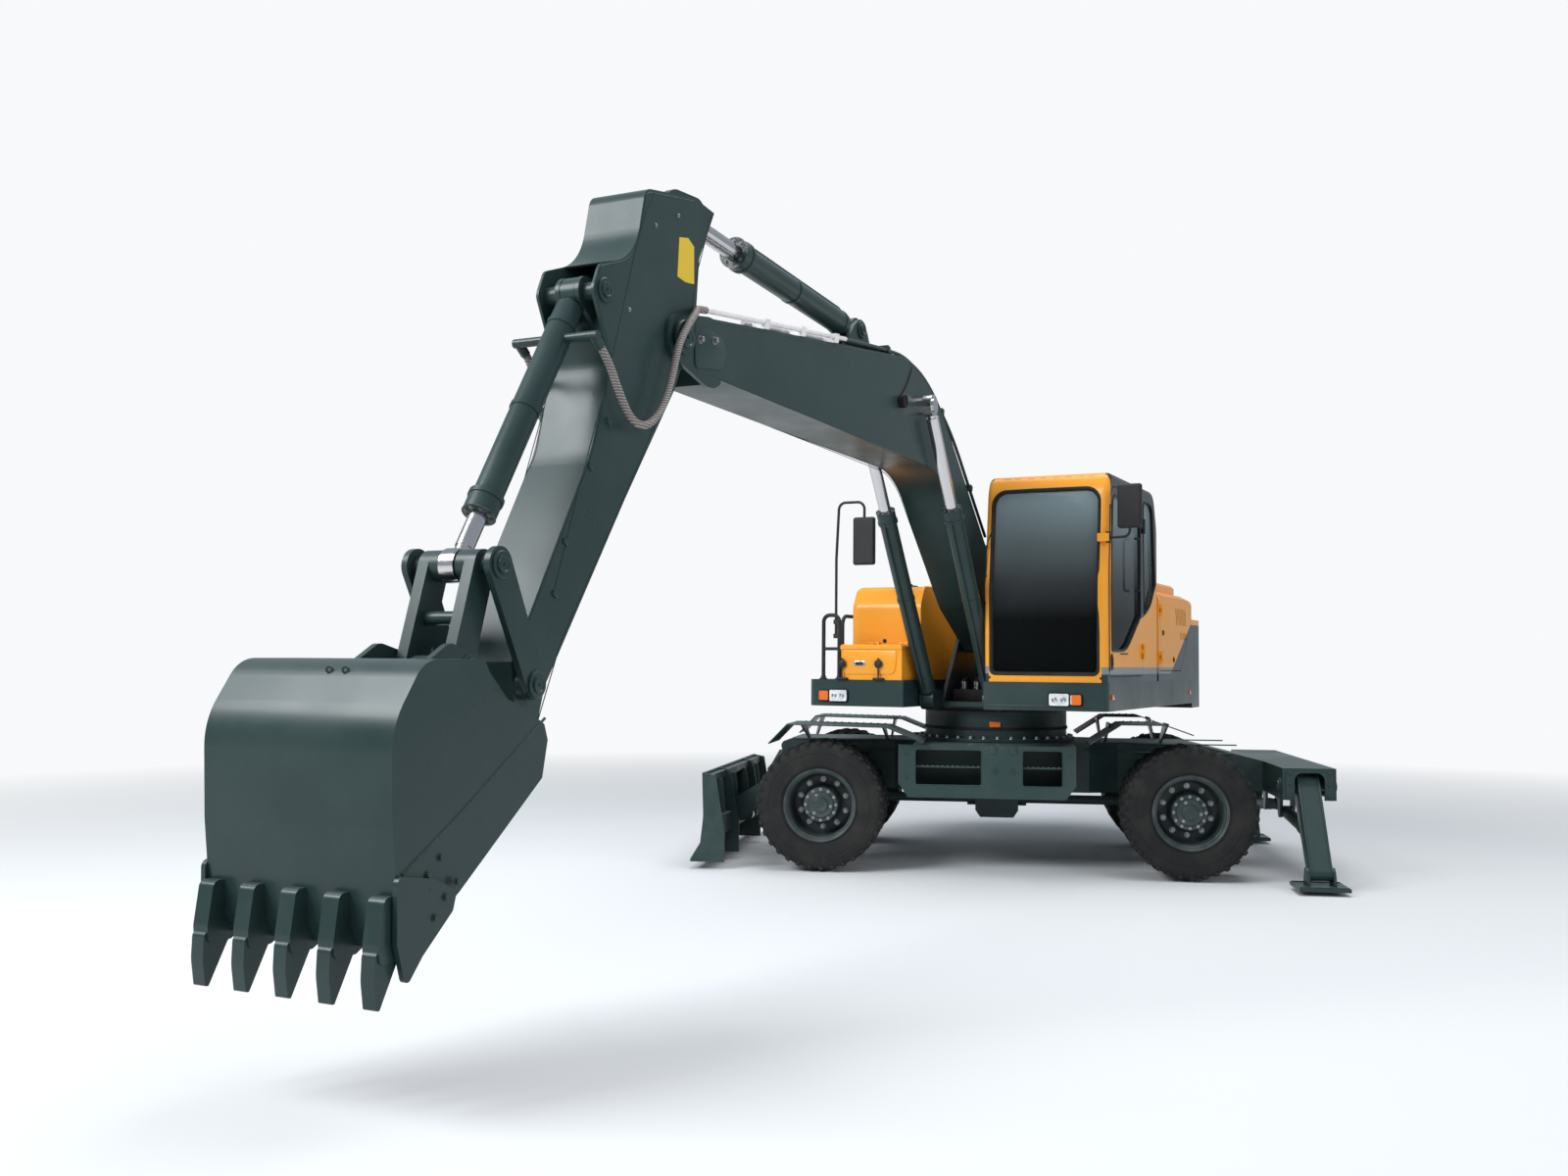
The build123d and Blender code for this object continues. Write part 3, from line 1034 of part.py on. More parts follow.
# ears for the arm cylinder on top
ARM_RAM_W = 90
for side in (-1, 1):
    near = side * (ARM_RAM_W / 2 + SIDE)
    ear = outline([(ARM_CYL_BASE[0] - 330, 1010), (ARM_CYL_BASE[0] + 300, 860),
                   (ARM_CYL_BASE[0] + 105, ARM_CYL_BASE[1] - 10, 90),
                   (ARM_CYL_BASE[0] + 10, ARM_CYL_BASE[1] + 100, 90),
                   (ARM_CYL_BASE[0] - 110, ARM_CYL_BASE[1] + 20, 80)])
    boom += side_plate(ear, *sorted((near, near + side * 30)))
boom += cross_pin(ARM_CYL_BASE, -ARM_RAM_W / 2 - SIDE - 30, ARM_RAM_W / 2 + SIDE + 30, PIN_R)
BOOM_EYE_W = 68
parts["boom"] = on_boom(boom)

# pipes along the top of the boom, on clamps
PIPE_R = 14
PIPE_Y = (95, 187)
INNER_PIPE_X1 = 4900
PIPE_X0, PIPE_X1 = 3750, 5450
TOP_SLOPE = (BOOM_OUTLINE[1][1] - BOOM_OUTLINE[2][1]) / (BOOM_OUTLINE[1][0] - BOOM_OUTLINE[2][0])
PIPE_LIFT = 42


def boom_top(x):
    return BOOM_OUTLINE[1][1] + TOP_SLOPE * (x - BOOM_OUTLINE[1][0])


pipes = []
for side in (-1, 1):
    run = None
    for y in PIPE_Y:
        x1 = PIPE_X1 if y == PIPE_Y[1] else INNER_PIPE_X1
        pipe = rod((PIPE_X0, side * y, boom_top(PIPE_X0) + PIPE_LIFT),
                   (x1, side * y, boom_top(x1) + PIPE_LIFT), PIPE_R)
        run = pipe if run is None else run + pipe
    for x in (3900, 4350, 4800):
        y0, y1 = sorted((side * (PIPE_Y[0] - 30), side * (PIPE_Y[1] + 16)))
        clamp = outline([(x - 30, boom_top(x - 30) + RUN * 1.1), (x + 30, boom_top(x + 30) + RUN * 1.1),
                         (x + 30, boom_top(x + 30) + PIPE_LIFT + 22), (x - 30, boom_top(x - 30) + PIPE_LIFT + 22)])
        run += side_plate(clamp, y0, y1)
    pipes.append(run)
parts["boom_pipes"] = on_boom(Compound(pipes))

# shortest and longest pin distance; a spacer collar on each rod eye meets the boom's side
BOOM_RAM_STROKE = (1838, 3170)
tubes, rods = [], []
for y in (-BOOM_CYL_Y, BOOM_CYL_Y):
    tube, shaft = ram(xz(BOOM_CYL_BASE, y), xz(BOOM_EYE, y), (0, 1, 0), *BOOM_RAM_STROKE,
                      66, 45, BASE_EYE_R, BASE_EYE_W, BOOM_EYE_W, PIN_R, gland=1.10)
    out = 1 if y > 0 else -1
    shaft += cross_pin(BOOM_EYE, *sorted((out * (BOOM_HALF + RUN), y - out * 30)), 62)
    shaft += cross_pin(BOOM_EYE, *sorted((y + out * 30, y + out * (BOOM_EYE_W / 2 + 10))), 50)
    tubes.append(tube)
    rods.append(shaft)
parts["boom_ram_tubes"] = Compound(tubes)
parts["boom_ram_rods"] = Compound(rods)

# ---- arm ---------------------------------------------------------------------------------
ARM_PLATE = 11
ARM_OUTLINE = [
    (-760, 270), (-420, 640, 80), (-60, 520, 300), (200, 720, 60), (340, 700, 60), (520, 400, 150),
    (1000, 285, 600), (2140, 255), (2330, 90), (2330, -70), (2100, -10), (1000, -70),
    (250, -130), (-200, -100), (-520, 60, 60), (-850, 80),
]
arm_face = outline(ARM_OUTLINE)
arm = plate_box(arm_face, ARM_HALF, ARM_PLATE)
arm += cross_pin((0, 0), -ARM_HALF, ARM_HALF, 165)
arm -= cross_pin((0, 0), -ARM_HALF, ARM_HALF, PIN_R + RUN)
arm += cross_pin((ARM_LENGTH, 0), -ARM_HALF, ARM_HALF, 110)
arm -= cross_pin((ARM_LENGTH, 0), -ARM_HALF, ARM_HALF, PIN_R + RUN)
# rear fork for the arm cylinder
slot = outline([(-1100, -60), (-690, -60), (-640, 330), (-1100, 500)])
ARM_EYE_W = 104
arm -= side_plate(slot, -ARM_EYE_W / 2 - SIDE - 8, ARM_EYE_W / 2 + SIDE + 8)
for side in (-1, 1):
    near = side * (ARM_EYE_W / 2 + SIDE)
    arm += side_plate(tapered(ARM_CYL_EYE, (-640, 250), 98, 150), *sorted((near, near + side * 40)))
# bracket for the bucket cylinder
BKT_BASE_W = 80
POCKET_HALF = ARM_HALF - ARM_PLATE - SIDE
pocket = outline([(60, 500), (520, 500), (520, 900), (60, 900)])
arm -= side_plate(pocket, -POCKET_HALF, POCKET_HALF)
for side in (-1, 1):
    near = side * (BKT_BASE_W / 2 + SIDE)
    bracket = tapered((250, 470), BKT_CYL_BASE, 120, 78)
    arm += side_plate(bracket, *sorted((near, near + side * 25)))
arm += block(75, 505, -POCKET_HALF - 1, POCKET_HALF + 1, 489, 501) & side_plate(arm_face, -ARM_HALF, ARM_HALF)
arm += cross_pin(BKT_CYL_BASE, -ARM_HALF, ARM_HALF, PIN_R)
arm += cross_pin(ROCKER_PIVOT, -ROCKER_Y - 23, ROCKER_Y + 23, 38)
arm += cross_pin(ROCKER_PIVOT, -ROCKER_Y + 18, ROCKER_Y - 18, 70)
parts["arm"] = on_arm(arm)

ARM_RAM_STROKE = (1785, 3170)
tube, shaft = ram(xz(ARM_BASE, 0), xz(ARM_EYE, 0), (0, 1, 0), *ARM_RAM_STROKE,
                  78, 50, 85, ARM_RAM_W, ARM_EYE_W, PIN_R, neck=92)
parts["arm_ram_tube"] = tube
parts["arm_ram_rod"] = shaft

# ---- bucket linkage: two rockers, an H-link and the bucket cylinder --------------------------
ROCKER_T = 30
ROCKER_PIN_R = 38
KNEE_EYE_W = 78
LINK_BOSS0 = KNEE_EYE_W / 2 + SIDE
rockers = []
for side in (-1, 1):
    y0, y1 = side * ROCKER_Y - ROCKER_T / 2, side * ROCKER_Y + ROCKER_T / 2
    plate = side_plate(tapered(ROCKER_FOOT, ROCKER_TOP, 66, 78), y0, y1)
    plate -= cross_pin(ROCKER_FOOT, y0, y1, ROCKER_PIN_R + RUN)
    y0, y1 = sorted((side * (LINK_BOSS0 + 6), side * (ROCKER_Y + ROCKER_T / 2 + 8)))
    rockers.append(plate + cross_pin(ROCKER_TOP, y0, y1, ROCKER_PIN_R))
parts["rocker_links"] = Compound(rockers)

LINK_HALF = 150
link = None
for side in (-1, 1):
    y0, y1 = sorted((side * LINK_BOSS0, side * LINK_HALF))
    leg_face = tapered(ROCKER_TOP, LINK_PIN, 68, 70)
    y2, y3 = sorted((side * (LINK_HALF - 55), side * LINK_HALF))
    half_link = side_plate(leg_face, y2, y3) + cross_pin(ROCKER_TOP, y0, y1, 68)
    link = half_link if link is None else link + half_link
middle = ((ROCKER_TOP[0] + LINK_PIN[0]) / 2, (ROCKER_TOP[1] + LINK_PIN[1]) / 2)
link += cross_pin(middle, -LINK_HALF + 10, LINK_HALF - 10, 30)
link += cross_pin(LINK_PIN, -LINK_HALF, LINK_HALF, 70)
link -= cross_pin(ROCKER_TOP, -LINK_HALF, LINK_HALF, ROCKER_PIN_R + RUN)
parts["bucket_link"] = link

closed, opened = 1440, 2460
tube, shaft = ram(xz(BKT_BASE, 0), xz(ROCKER_TOP, 0), (0, 1, 0), closed, opened,
                  66, 42, 76, BKT_BASE_W, KNEE_EYE_W, PIN_R)
parts["bucket_ram_tube"] = tube
parts["bucket_ram_rod"] = shaft
PORT_AT = 300            # from the base pin along the tube
PORT_Y = 215
PORT_R = 24
PORT_REACH = 70
FITTING_ANGLE = 37       # the port's mouth points down and back at this angle
to_port = (Vector(*xz(ROCKER_TOP, 0)) - Vector(*xz(BKT_BASE, 0))).normalized()
port = Vector(*xz(BKT_BASE, 0)) + to_port * PORT_AT
mouth_way = Vector(-cos(radians(FITTING_ANGLE)), 0, -sin(radians(FITTING_ANGLE)))
tube += rod(port - Vector(0, PORT_Y + PORT_R, 0), port + Vector(0, PORT_Y + PORT_R, 0), 22)
tube -= rod(port - to_port * 60, port + to_port * 60, 66 * 0.84 - 0.5)
for side in (-1, 1):
    root = port + Vector(0, side * PORT_Y, 0)
    tube += rod(root, root + mouth_way * PORT_REACH, PORT_R)
parts["bucket_ram_tube"] = tube

# ---- hoses from the boom's pipes to the bucket cylinder ---------------------------------------
HOSE_R = 20
HOSE_ROUTE = [
    (5806, 256, 3262), (5862, 256, 3085), (5945, 254, 2910), (6085, 252, 2790),
    (6230, 250, 2800), (6325, 240, 2925),
]
near_tip = [(PIPE_X1, PIPE_Y[1]), (PIPE_X1 + 85, PIPE_Y[1])]
over_edge = [(5612, 238, 168), (5692, 256, 62)]


def boom_point(x, y, z):
    place = local(FOOT, BOOM_ANGLE, (x, z))
    return (place[0], y, place[1])


for name, side in (("left", 1), ("right", -1)):
    route = [boom_point(x, y, boom_top(x) + PIPE_LIFT) for x, y in near_tip]
    route += [boom_point(*p) for p in over_edge] + HOSE_ROUTE
    last = port + mouth_way * (PORT_REACH + RUN)
    before = last + mouth_way * 85
    route += [(before.X, PORT_Y, before.Z), (last.X, PORT_Y, last.Z)]
    first, second = Vector(*route[0]), Vector(*route[1])
    first += (second - first).normalized() * RUN
    route[0] = (first.X, first.Y, first.Z)
    route = [(x, side * y, z) for x, y, z in route]
    radii = []
    for a, b, c in zip(route, route[1:], route[2:]):
        a, b, c = Vector(*a), Vector(*b), Vector(*c)
        turn = (b - a).get_angle(c - b)
        radii.append(0.45 * min((b - a).length, (c - b).length) / tan(radians(turn / 2)))
    path = FilletPolyline(*route, radius=radii)
    hose = sweep(Plane(origin=path @ 0, z_dir=path % 0) * Circle(HOSE_R), path=path)
    print(name, "hose length", round(path.length), "volume error",
          round(hose.volume / (path.length * pi * HOSE_R**2) - 1, 4), [round(r) for r in radii])
    parts[f"hose_{name}"] = hose

# ---- bucket: a rolled shell between two side plates, ears on its back ----------------------------
BUCKET_PLATE = 22
# rows from the bucket pin, in the XZ plane
BUCKET_OUTER = [
    (215, 45), (240, 110), (370, 178), (560, 240, 40), (631, 374, 60), (983, 372, 150), (1150, 130, 300),
    (1135, -238), (1095, -600), (1050, -690),
]
BUCKET_MOUTH = [(760, -500), (249, -108)]


def from_bucket_pin(points):
    rows = []
    for p in points:
        rows.append((BUCKET_PIN[0] + p[0], BUCKET_PIN[1] + p[1]) + tuple(p[2:]))
    return rows


bucket_face = outline(from_bucket_pin(BUCKET_OUTER + BUCKET_MOUTH))
bucket_hollow = outline(from_bucket_pin(
    [(180, 10), (262, 88), (380, 155), (577, 218), (644, 350, 40), (970, 350, 130),
     (1128, 125, 280), (1113, -238), (1072, -610), (1040, -760), (700, -900), (100, -300)]))
bucket = side_plate(bucket_face, -BUCKET_HALF, BUCKET_HALF)
bucket -= side_plate(bucket_hollow, -BUCKET_HALF + BUCKET_PLATE, BUCKET_HALF - BUCKET_PLATE)
EAR_Y = ARM_HALF + SIDE
EAR_T = 30
ear_face = outline(from_bucket_pin([
    (-95, 60, 60), (-70, -90, 70), (110, -80, 60), (300, 130), (570, 235), (650, 365),
    (520, 440, 60), (400, 410, 80), (270, 330, 60), (120, 190, 60),
]))
for side in (-1, 1):
    bucket += side_plate(ear_face, *sorted((side * EAR_Y, side * (EAR_Y + EAR_T))))
bucket += cross_pin(BUCKET_PIN, -EAR_Y - EAR_T - 12, EAR_Y + EAR_T + 12, PIN_R)
for side in (-1, 1):
    bucket += cross_pin(LINK_PIN, *sorted((side * (EAR_Y - 10), side * (EAR_Y + EAR_T + 3))), 80)
# side cutters bolted along the mouth's lower corners
CUTTER_T = 20
cutter = outline(from_bucket_pin([
    (1128, -395, 30), (1122, -640), (1072, -800, 20), (985, -700), (820, -560, 25), (800, -490, 25),
    (930, -430, 60),
]))
for side in (-1, 1):
    bucket += side_plate(cutter, *sorted((side * (BUCKET_HALF - 2), side * (BUCKET_HALF + CUTTER_T))))
parts["bucket"] = bucket

TOOTH_COUNT = 5
TOOTH_W = 75
TOOTH_PITCH = (2 * BUCKET_HALF - TOOTH_W - 20) / (TOOTH_COUNT - 1)
# a welded adapter straddles the lip, a narrower point fits over its nose
adapter_face = outline(from_bucket_pin([(1088, -470, 20), (1158, -470, 30), (1184, -640, 60), (1176, -705, 25),
                                        (1068, -700), (1030, -680), (1060, -590)]))
point_face = outline(from_bucket_pin([(1192, -655, 25), (1196, -760, 200), (1180, -862, 8), (1164, -862),
                                      (1098, -742, 120), (1050, -655, 20)]))
POINT_W = 62
teeth = []
for i in range(TOOTH_COUNT):
    y = (i - (TOOTH_COUNT - 1) / 2) * TOOTH_PITCH
    tooth = side_plate(adapter_face, y - TOOTH_W / 2, y + TOOTH_W / 2)
    tooth += side_plate(point_face, y - POINT_W / 2, y + POINT_W / 2)
    teeth.append(tooth - bucket)
parts["bucket_teeth"] = Compound(teeth)

for name, shape in parts.items():
    export_step(shape, f"parts/{name}.step")
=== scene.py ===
import json
from math import acos, atan2, cos, pi, radians, sin, tan, tau

import bpy
from mathutils import Matrix, Vector

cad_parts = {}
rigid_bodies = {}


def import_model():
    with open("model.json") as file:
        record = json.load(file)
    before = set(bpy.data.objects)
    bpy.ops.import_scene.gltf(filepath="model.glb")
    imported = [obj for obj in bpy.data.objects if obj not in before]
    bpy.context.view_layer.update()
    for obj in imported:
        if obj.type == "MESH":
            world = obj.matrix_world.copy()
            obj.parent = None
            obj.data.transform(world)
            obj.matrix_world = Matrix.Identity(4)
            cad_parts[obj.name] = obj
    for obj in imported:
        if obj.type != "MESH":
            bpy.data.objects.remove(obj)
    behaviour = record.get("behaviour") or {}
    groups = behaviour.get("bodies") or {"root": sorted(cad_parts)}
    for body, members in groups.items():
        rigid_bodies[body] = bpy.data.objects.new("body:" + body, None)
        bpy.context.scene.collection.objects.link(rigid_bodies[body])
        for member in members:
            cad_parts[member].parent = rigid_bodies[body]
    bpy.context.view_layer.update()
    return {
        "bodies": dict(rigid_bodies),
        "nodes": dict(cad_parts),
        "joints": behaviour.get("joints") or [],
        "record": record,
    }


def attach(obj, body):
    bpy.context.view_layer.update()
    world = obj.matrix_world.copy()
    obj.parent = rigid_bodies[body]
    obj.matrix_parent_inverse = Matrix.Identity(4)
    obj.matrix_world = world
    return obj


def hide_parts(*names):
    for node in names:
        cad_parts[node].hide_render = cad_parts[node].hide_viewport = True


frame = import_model()
nodes = frame["nodes"]

# ---- Camera ----
# Stands low in front of the machine, on the cab's side, and looks slightly up.
bpy.ops.object.select_all(action="DESELECT")
camera_data = bpy.data.cameras.new("camera")
camera_data.lens = 33.6
camera_data.sensor_width = 36.0
camera = bpy.data.objects.new("camera", camera_data)
bpy.context.scene.collection.objects.link(camera)
camera.matrix_world = (
    Matrix.Translation((12.131, 4.039, 1.65))
    @ Matrix.Rotation(radians(116.651), 4, "Z")
    @ Matrix.Rotation(radians(92.911), 4, "X")
    @ Matrix.Rotation(radians(0.435), 4, "Z")
)
bpy.context.scene.camera = camera

# ---- Studio ----
# A pale floor that fades into the backdrop, one large soft lamp high on the
# boom's side, a weaker one on the cab's side that metal doesn't mirror, and one
# overhead.
BACKDROP_WHITE = (0.94, 0.95, 0.96, 1.0)


def node_of(tree, kind, **values):
    """A shader node with some of its settings or sockets filled in."""
    made = tree.nodes.new(kind)
    for key, value in values.items():
        if hasattr(made, key):
            setattr(made, key, value)
        else:
            made.inputs[key.replace("_", " ")].default_value = value
    return made


def finish_of(name):
    """A new material, with its node tree, its shader and its coordinates node."""
    material = bpy.data.materials.new(name)
    material.use_nodes = True
    tree = material.node_tree
    return material, tree, tree.nodes["Principled BSDF"], node_of(tree, "ShaderNodeTexCoord")


bpy.ops.mesh.primitive_plane_add(size=90, location=(2.5, 0, 0))
floor = bpy.context.object
floor.name = "studio_floor"
bpy.ops.object.transform_apply(location=True, rotation=True, scale=True)
floor_paint, tree, shader, place = finish_of("floor_paint")
shader.inputs["Base Color"].default_value = (0.74, 0.75, 0.76, 1.0)
shader.inputs["Roughness"].default_value = 0.9
far = node_of(tree, "ShaderNodeVectorMath", operation="LENGTH")
tree.links.new(place.outputs["Object"], far.inputs[0])
fade = node_of(tree, "ShaderNodeMapRange", From_Min=5.0, From_Max=15.0)
tree.links.new(far.outputs["Value"], fade.inputs["Value"])
glow = node_of(tree, "ShaderNodeEmission", Color=BACKDROP_WHITE)
fading = node_of(tree, "ShaderNodeMixShader")
tree.links.new(fade.outputs["Result"], fading.inputs["Fac"])
tree.links.new(shader.outputs["BSDF"], fading.inputs[1])
tree.links.new(glow.outputs["Emission"], fading.inputs[2])
tree.links.new(fading.outputs["Shader"], tree.nodes["Material Output"].inputs["Surface"])
floor.data.materials.append(floor_paint)

world = bpy.data.worlds.new("studio")
world.use_nodes = True
bpy.context.scene.world = world
sky = world.node_tree
sky.nodes.clear()
light_path = node_of(sky, "ShaderNodeLightPath")
seen = node_of(sky, "ShaderNodeMath", operation="MAXIMUM")
sky.links.new(light_path.outputs["Is Camera Ray"], seen.inputs[0])
sky.links.new(light_path.outputs["Is Transmission Ray"], seen.inputs[1])
backdrop = node_of(sky, "ShaderNodeBackground", Color=BACKDROP_WHITE)
ambient = node_of(sky, "ShaderNodeBackground", Color=(0.80, 0.90, 1.0, 1.0), Strength=0.42)
choose = node_of(sky, "ShaderNodeMixShader")
out = node_of(sky, "ShaderNodeOutputWorld")
sky.links.new(seen.outputs[0], choose.inputs["Fac"])
sky.links.new(ambient.outputs[0], choose.inputs[1])
sky.links.new(backdrop.outputs[0], choose.inputs[2])
sky.links.new(choose.outputs[0], out.inputs["Surface"])


def soft_lamp(name, place, target, size, power, colour=(1, 1, 1)):
    data = bpy.data.lights.new(name, "AREA")
    data.shape = "RECTANGLE"
    data.size, data.size_y = size
    data.energy = power
    data.color = colour
    lamp = bpy.data.objects.new(name, data)
    bpy.context.scene.collection.objects.link(lamp)
    lamp.location = place
    lamp.rotation_euler = (Vector(target) - Vector(place)).to_track_quat("-Z", "Y").to_euler()
    return lamp


soft_lamp("key_lamp", (13.0, -5.5, 9.0), (4.0, 0, 1.6), (7, 5), 1500, (0.95, 0.98, 1.0))
fill = soft_lamp("fill_lamp", (7.0, 13.0, 6.0), (3.0, 0, 1.4), (9, 5), 480)
fill.visible_glossy = False
soft_lamp("top_lamp", (1.0, 1.0, 12.0), (1.5, 0, 1.0), (9, 9), 900)

# ---- Hydraulic hoses ----
# Two rubber hoses in plastic spiral guard, crimped to the boom's steel pipes,
# hang in a loop beside the arm and end in the bucket cylinder's port.
HOSE_DIAMETER = 0.040
HOSE_POINTS = [
    (5.4134, 0.187, 3.5243), (5.5037, 0.187, 3.5138), (5.593, 0.238, 3.4763),
    (5.6971, 0.256, 3.3939), (5.806, 0.256, 3.262), (5.862, 0.256, 3.085),
    (5.945, 0.254, 2.91), (6.085, 0.252, 2.79), (6.23, 0.25, 2.8), (6.325, 0.24, 2.925),
    (6.3818, 0.215, 3.0705), (6.4497, 0.215, 3.1217),
]
GUARD_COLOUR = (0.30, 0.27, 0.25, 1)
GUARD_SHADE = (0.10, 0.09, 0.085, 1)
guard, tree, shader, place = finish_of("spiral_guard")
shader.inputs["Roughness"].default_value = 0.45
turns = node_of(tree, "ShaderNodeTexWave", bands_direction="Z", Scale=24.0, Distortion=0.3)
turns.inputs["Detail"].default_value = 1.0
tree.links.new(place.outputs["Object"], turns.inputs["Vector"])
shades = node_of(tree, "ShaderNodeValToRGB")
shades.color_ramp.elements[0].color = GUARD_SHADE
shades.color_ramp.elements[0].position = 0.30
shades.color_ramp.elements[1].color = GUARD_COLOUR
shades.color_ramp.elements[1].position = 0.55
tree.links.new(turns.outputs["Fac"], shades.inputs["Fac"])
tree.links.new(shades.outputs["Color"], shader.inputs["Base Color"])
ridge = node_of(tree, "ShaderNodeBump", Strength=0.7, Distance=0.004)
tree.links.new(turns.outputs["Fac"], ridge.inputs["Height"])
tree.links.new(ridge.outputs["Normal"], shader.inputs["Normal"])

for side, name in ((1, "left"), (-1, "right")):
    curve = bpy.data.curves.new(f"hydraulic_hose_{name}", "CURVE")
    curve.dimensions = "3D"
    spline = curve.splines.new("NURBS")
    spline.points.add(len(HOSE_POINTS) - 1)
    for point, (x, y, z) in zip(spline.points, HOSE_POINTS):
        point.co = (x, side * y, z, 1)
    spline.order_u = 3
    spline.use_endpoint_u = True
    spline.resolution_u = 12
    curve.bevel_depth = HOSE_DIAMETER / 2
    curve.bevel_resolution = 6
    hose = bpy.data.objects.new(f"hydraulic_hose_{name}", curve)
    bpy.context.scene.collection.objects.link(hose)
    curve.materials.append(guard)
    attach(hose, "boom")
    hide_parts(f"hose_{name}")
    x, y, z = HOSE_POINTS[0]

# ---- Tyres ----
# Eight 10.00-20 tyres in pairs, black rubber with deep cross lugs at both
# shoulders.  The carcass is spun from its section, one lug is shaped and copied.
TYRE_RADIUS = 0.523
LUG_COUNT = 34
AXLE_HEIGHT = 0.523
CHASSIS_TURN = Matrix.Rotation(radians(-71.6), 4, "Z")
AXLES = {"front": 1.375, "rear": -1.475}
TYRE_MIDDLES = (1.110, 0.800)
# columns: offset across the tyre, radius
CARCASS = [
    (-0.111, 0.263), (-0.113, 0.290), (-0.119, 0.300), (-0.121, 0.308), (-0.127, 0.312),
    (-0.131, 0.345), (-0.1345, 0.385), (-0.1345, 0.400), (-0.132, 0.404), (-0.132, 0.410),
    (-0.1345, 0.414), (-0.1330, 0.440), (-0.128, 0.468), (-0.121, 0.484), (-0.112, 0.495),
    (-0.060, 0.500), (-0.008, 0.502), (-0.006, 0.494), (0.0, 0.494),
]


def only(*objects):
    """Select these objects and nothing else."""
    bpy.ops.object.select_all(action="DESELECT")
    for obj in objects:
        obj.select_set(True)
    bpy.context.view_layer.objects.active = objects[0]


def traced(name, points):
    """A line of (x, y, z) points, drawn vertex by vertex and left in edit mode."""
    bpy.ops.object.select_all(action="DESELECT")
    bpy.ops.mesh.primitive_plane_add(size=0.01)
    bpy.context.object.name = name
    bpy.ops.object.mode_set(mode="EDIT")
    bpy.ops.mesh.select_mode(type="VERT")
    bpy.ops.mesh.select_all(action="SELECT")
    bpy.ops.mesh.merge(type="CENTER")
    bpy.ops.transform.translate(value=points[0])
    for start, end in zip(points, points[1:]):
        step = Vector(end) - Vector(start)
        bpy.ops.mesh.extrude_vertices_move(TRANSFORM_OT_translate={"value": step})
    bpy.ops.mesh.select_all(action="SELECT")


def spun(name, rows, steps=64, smooth=32):
    """A section of (place along Y, radius) rows, spun about the Y axis."""
    traced(name, [(0, y, r) for y, r in rows])
    bpy.ops.mesh.spin(steps=steps, angle=tau, center=(0, 0, 0), axis=(0, 1, 0))
    bpy.ops.mesh.select_all(action="SELECT")
    bpy.ops.mesh.remove_doubles(threshold=0.00008)
    bpy.ops.mesh.normals_make_consistent(inside=False)
    bpy.ops.object.mode_set(mode="OBJECT")
    bpy.ops.object.shade_smooth_by_angle(angle=radians(smooth))
    return bpy.context.object


def joined(name, *objects):
    if len(objects) > 1:
        only(*objects)
        bpy.ops.object.join()
    objects[0].name = name
    return objects[0]


def placed(piece, matrix):
    """Put a turn or shift into a piece's mesh."""
    piece.data.transform(matrix)
    return piece


def copied(piece, name, matrix=Matrix()):
    twin = piece.copy()
    twin.data = piece.data.copy()
    twin.name = name
    bpy.context.scene.collection.objects.link(twin)
    return placed(twin, matrix)


def rounded(piece, width, segments=2, angle=35):
    """Round a piece's edges with a bevel that is applied."""
    bevel = piece.modifiers.new("edges", "BEVEL")
    bevel.width, bevel.segments, bevel.limit_method = width, segments, "ANGLE"
    bevel.angle_limit = radians(angle)
    only(piece)
    bpy.ops.object.modifier_apply(modifier="edges")
    bpy.ops.object.shade_smooth_by_angle(angle=radians(40))
    return piece


def coated(piece, material):
    piece.data.materials.clear()
    piece.data.materials.append(material)
    return piece


def fitted(piece, body, material):
    """Finish a piece: its material and the body it rides on."""
    coated(piece, material)
    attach(piece, body)
    return piece


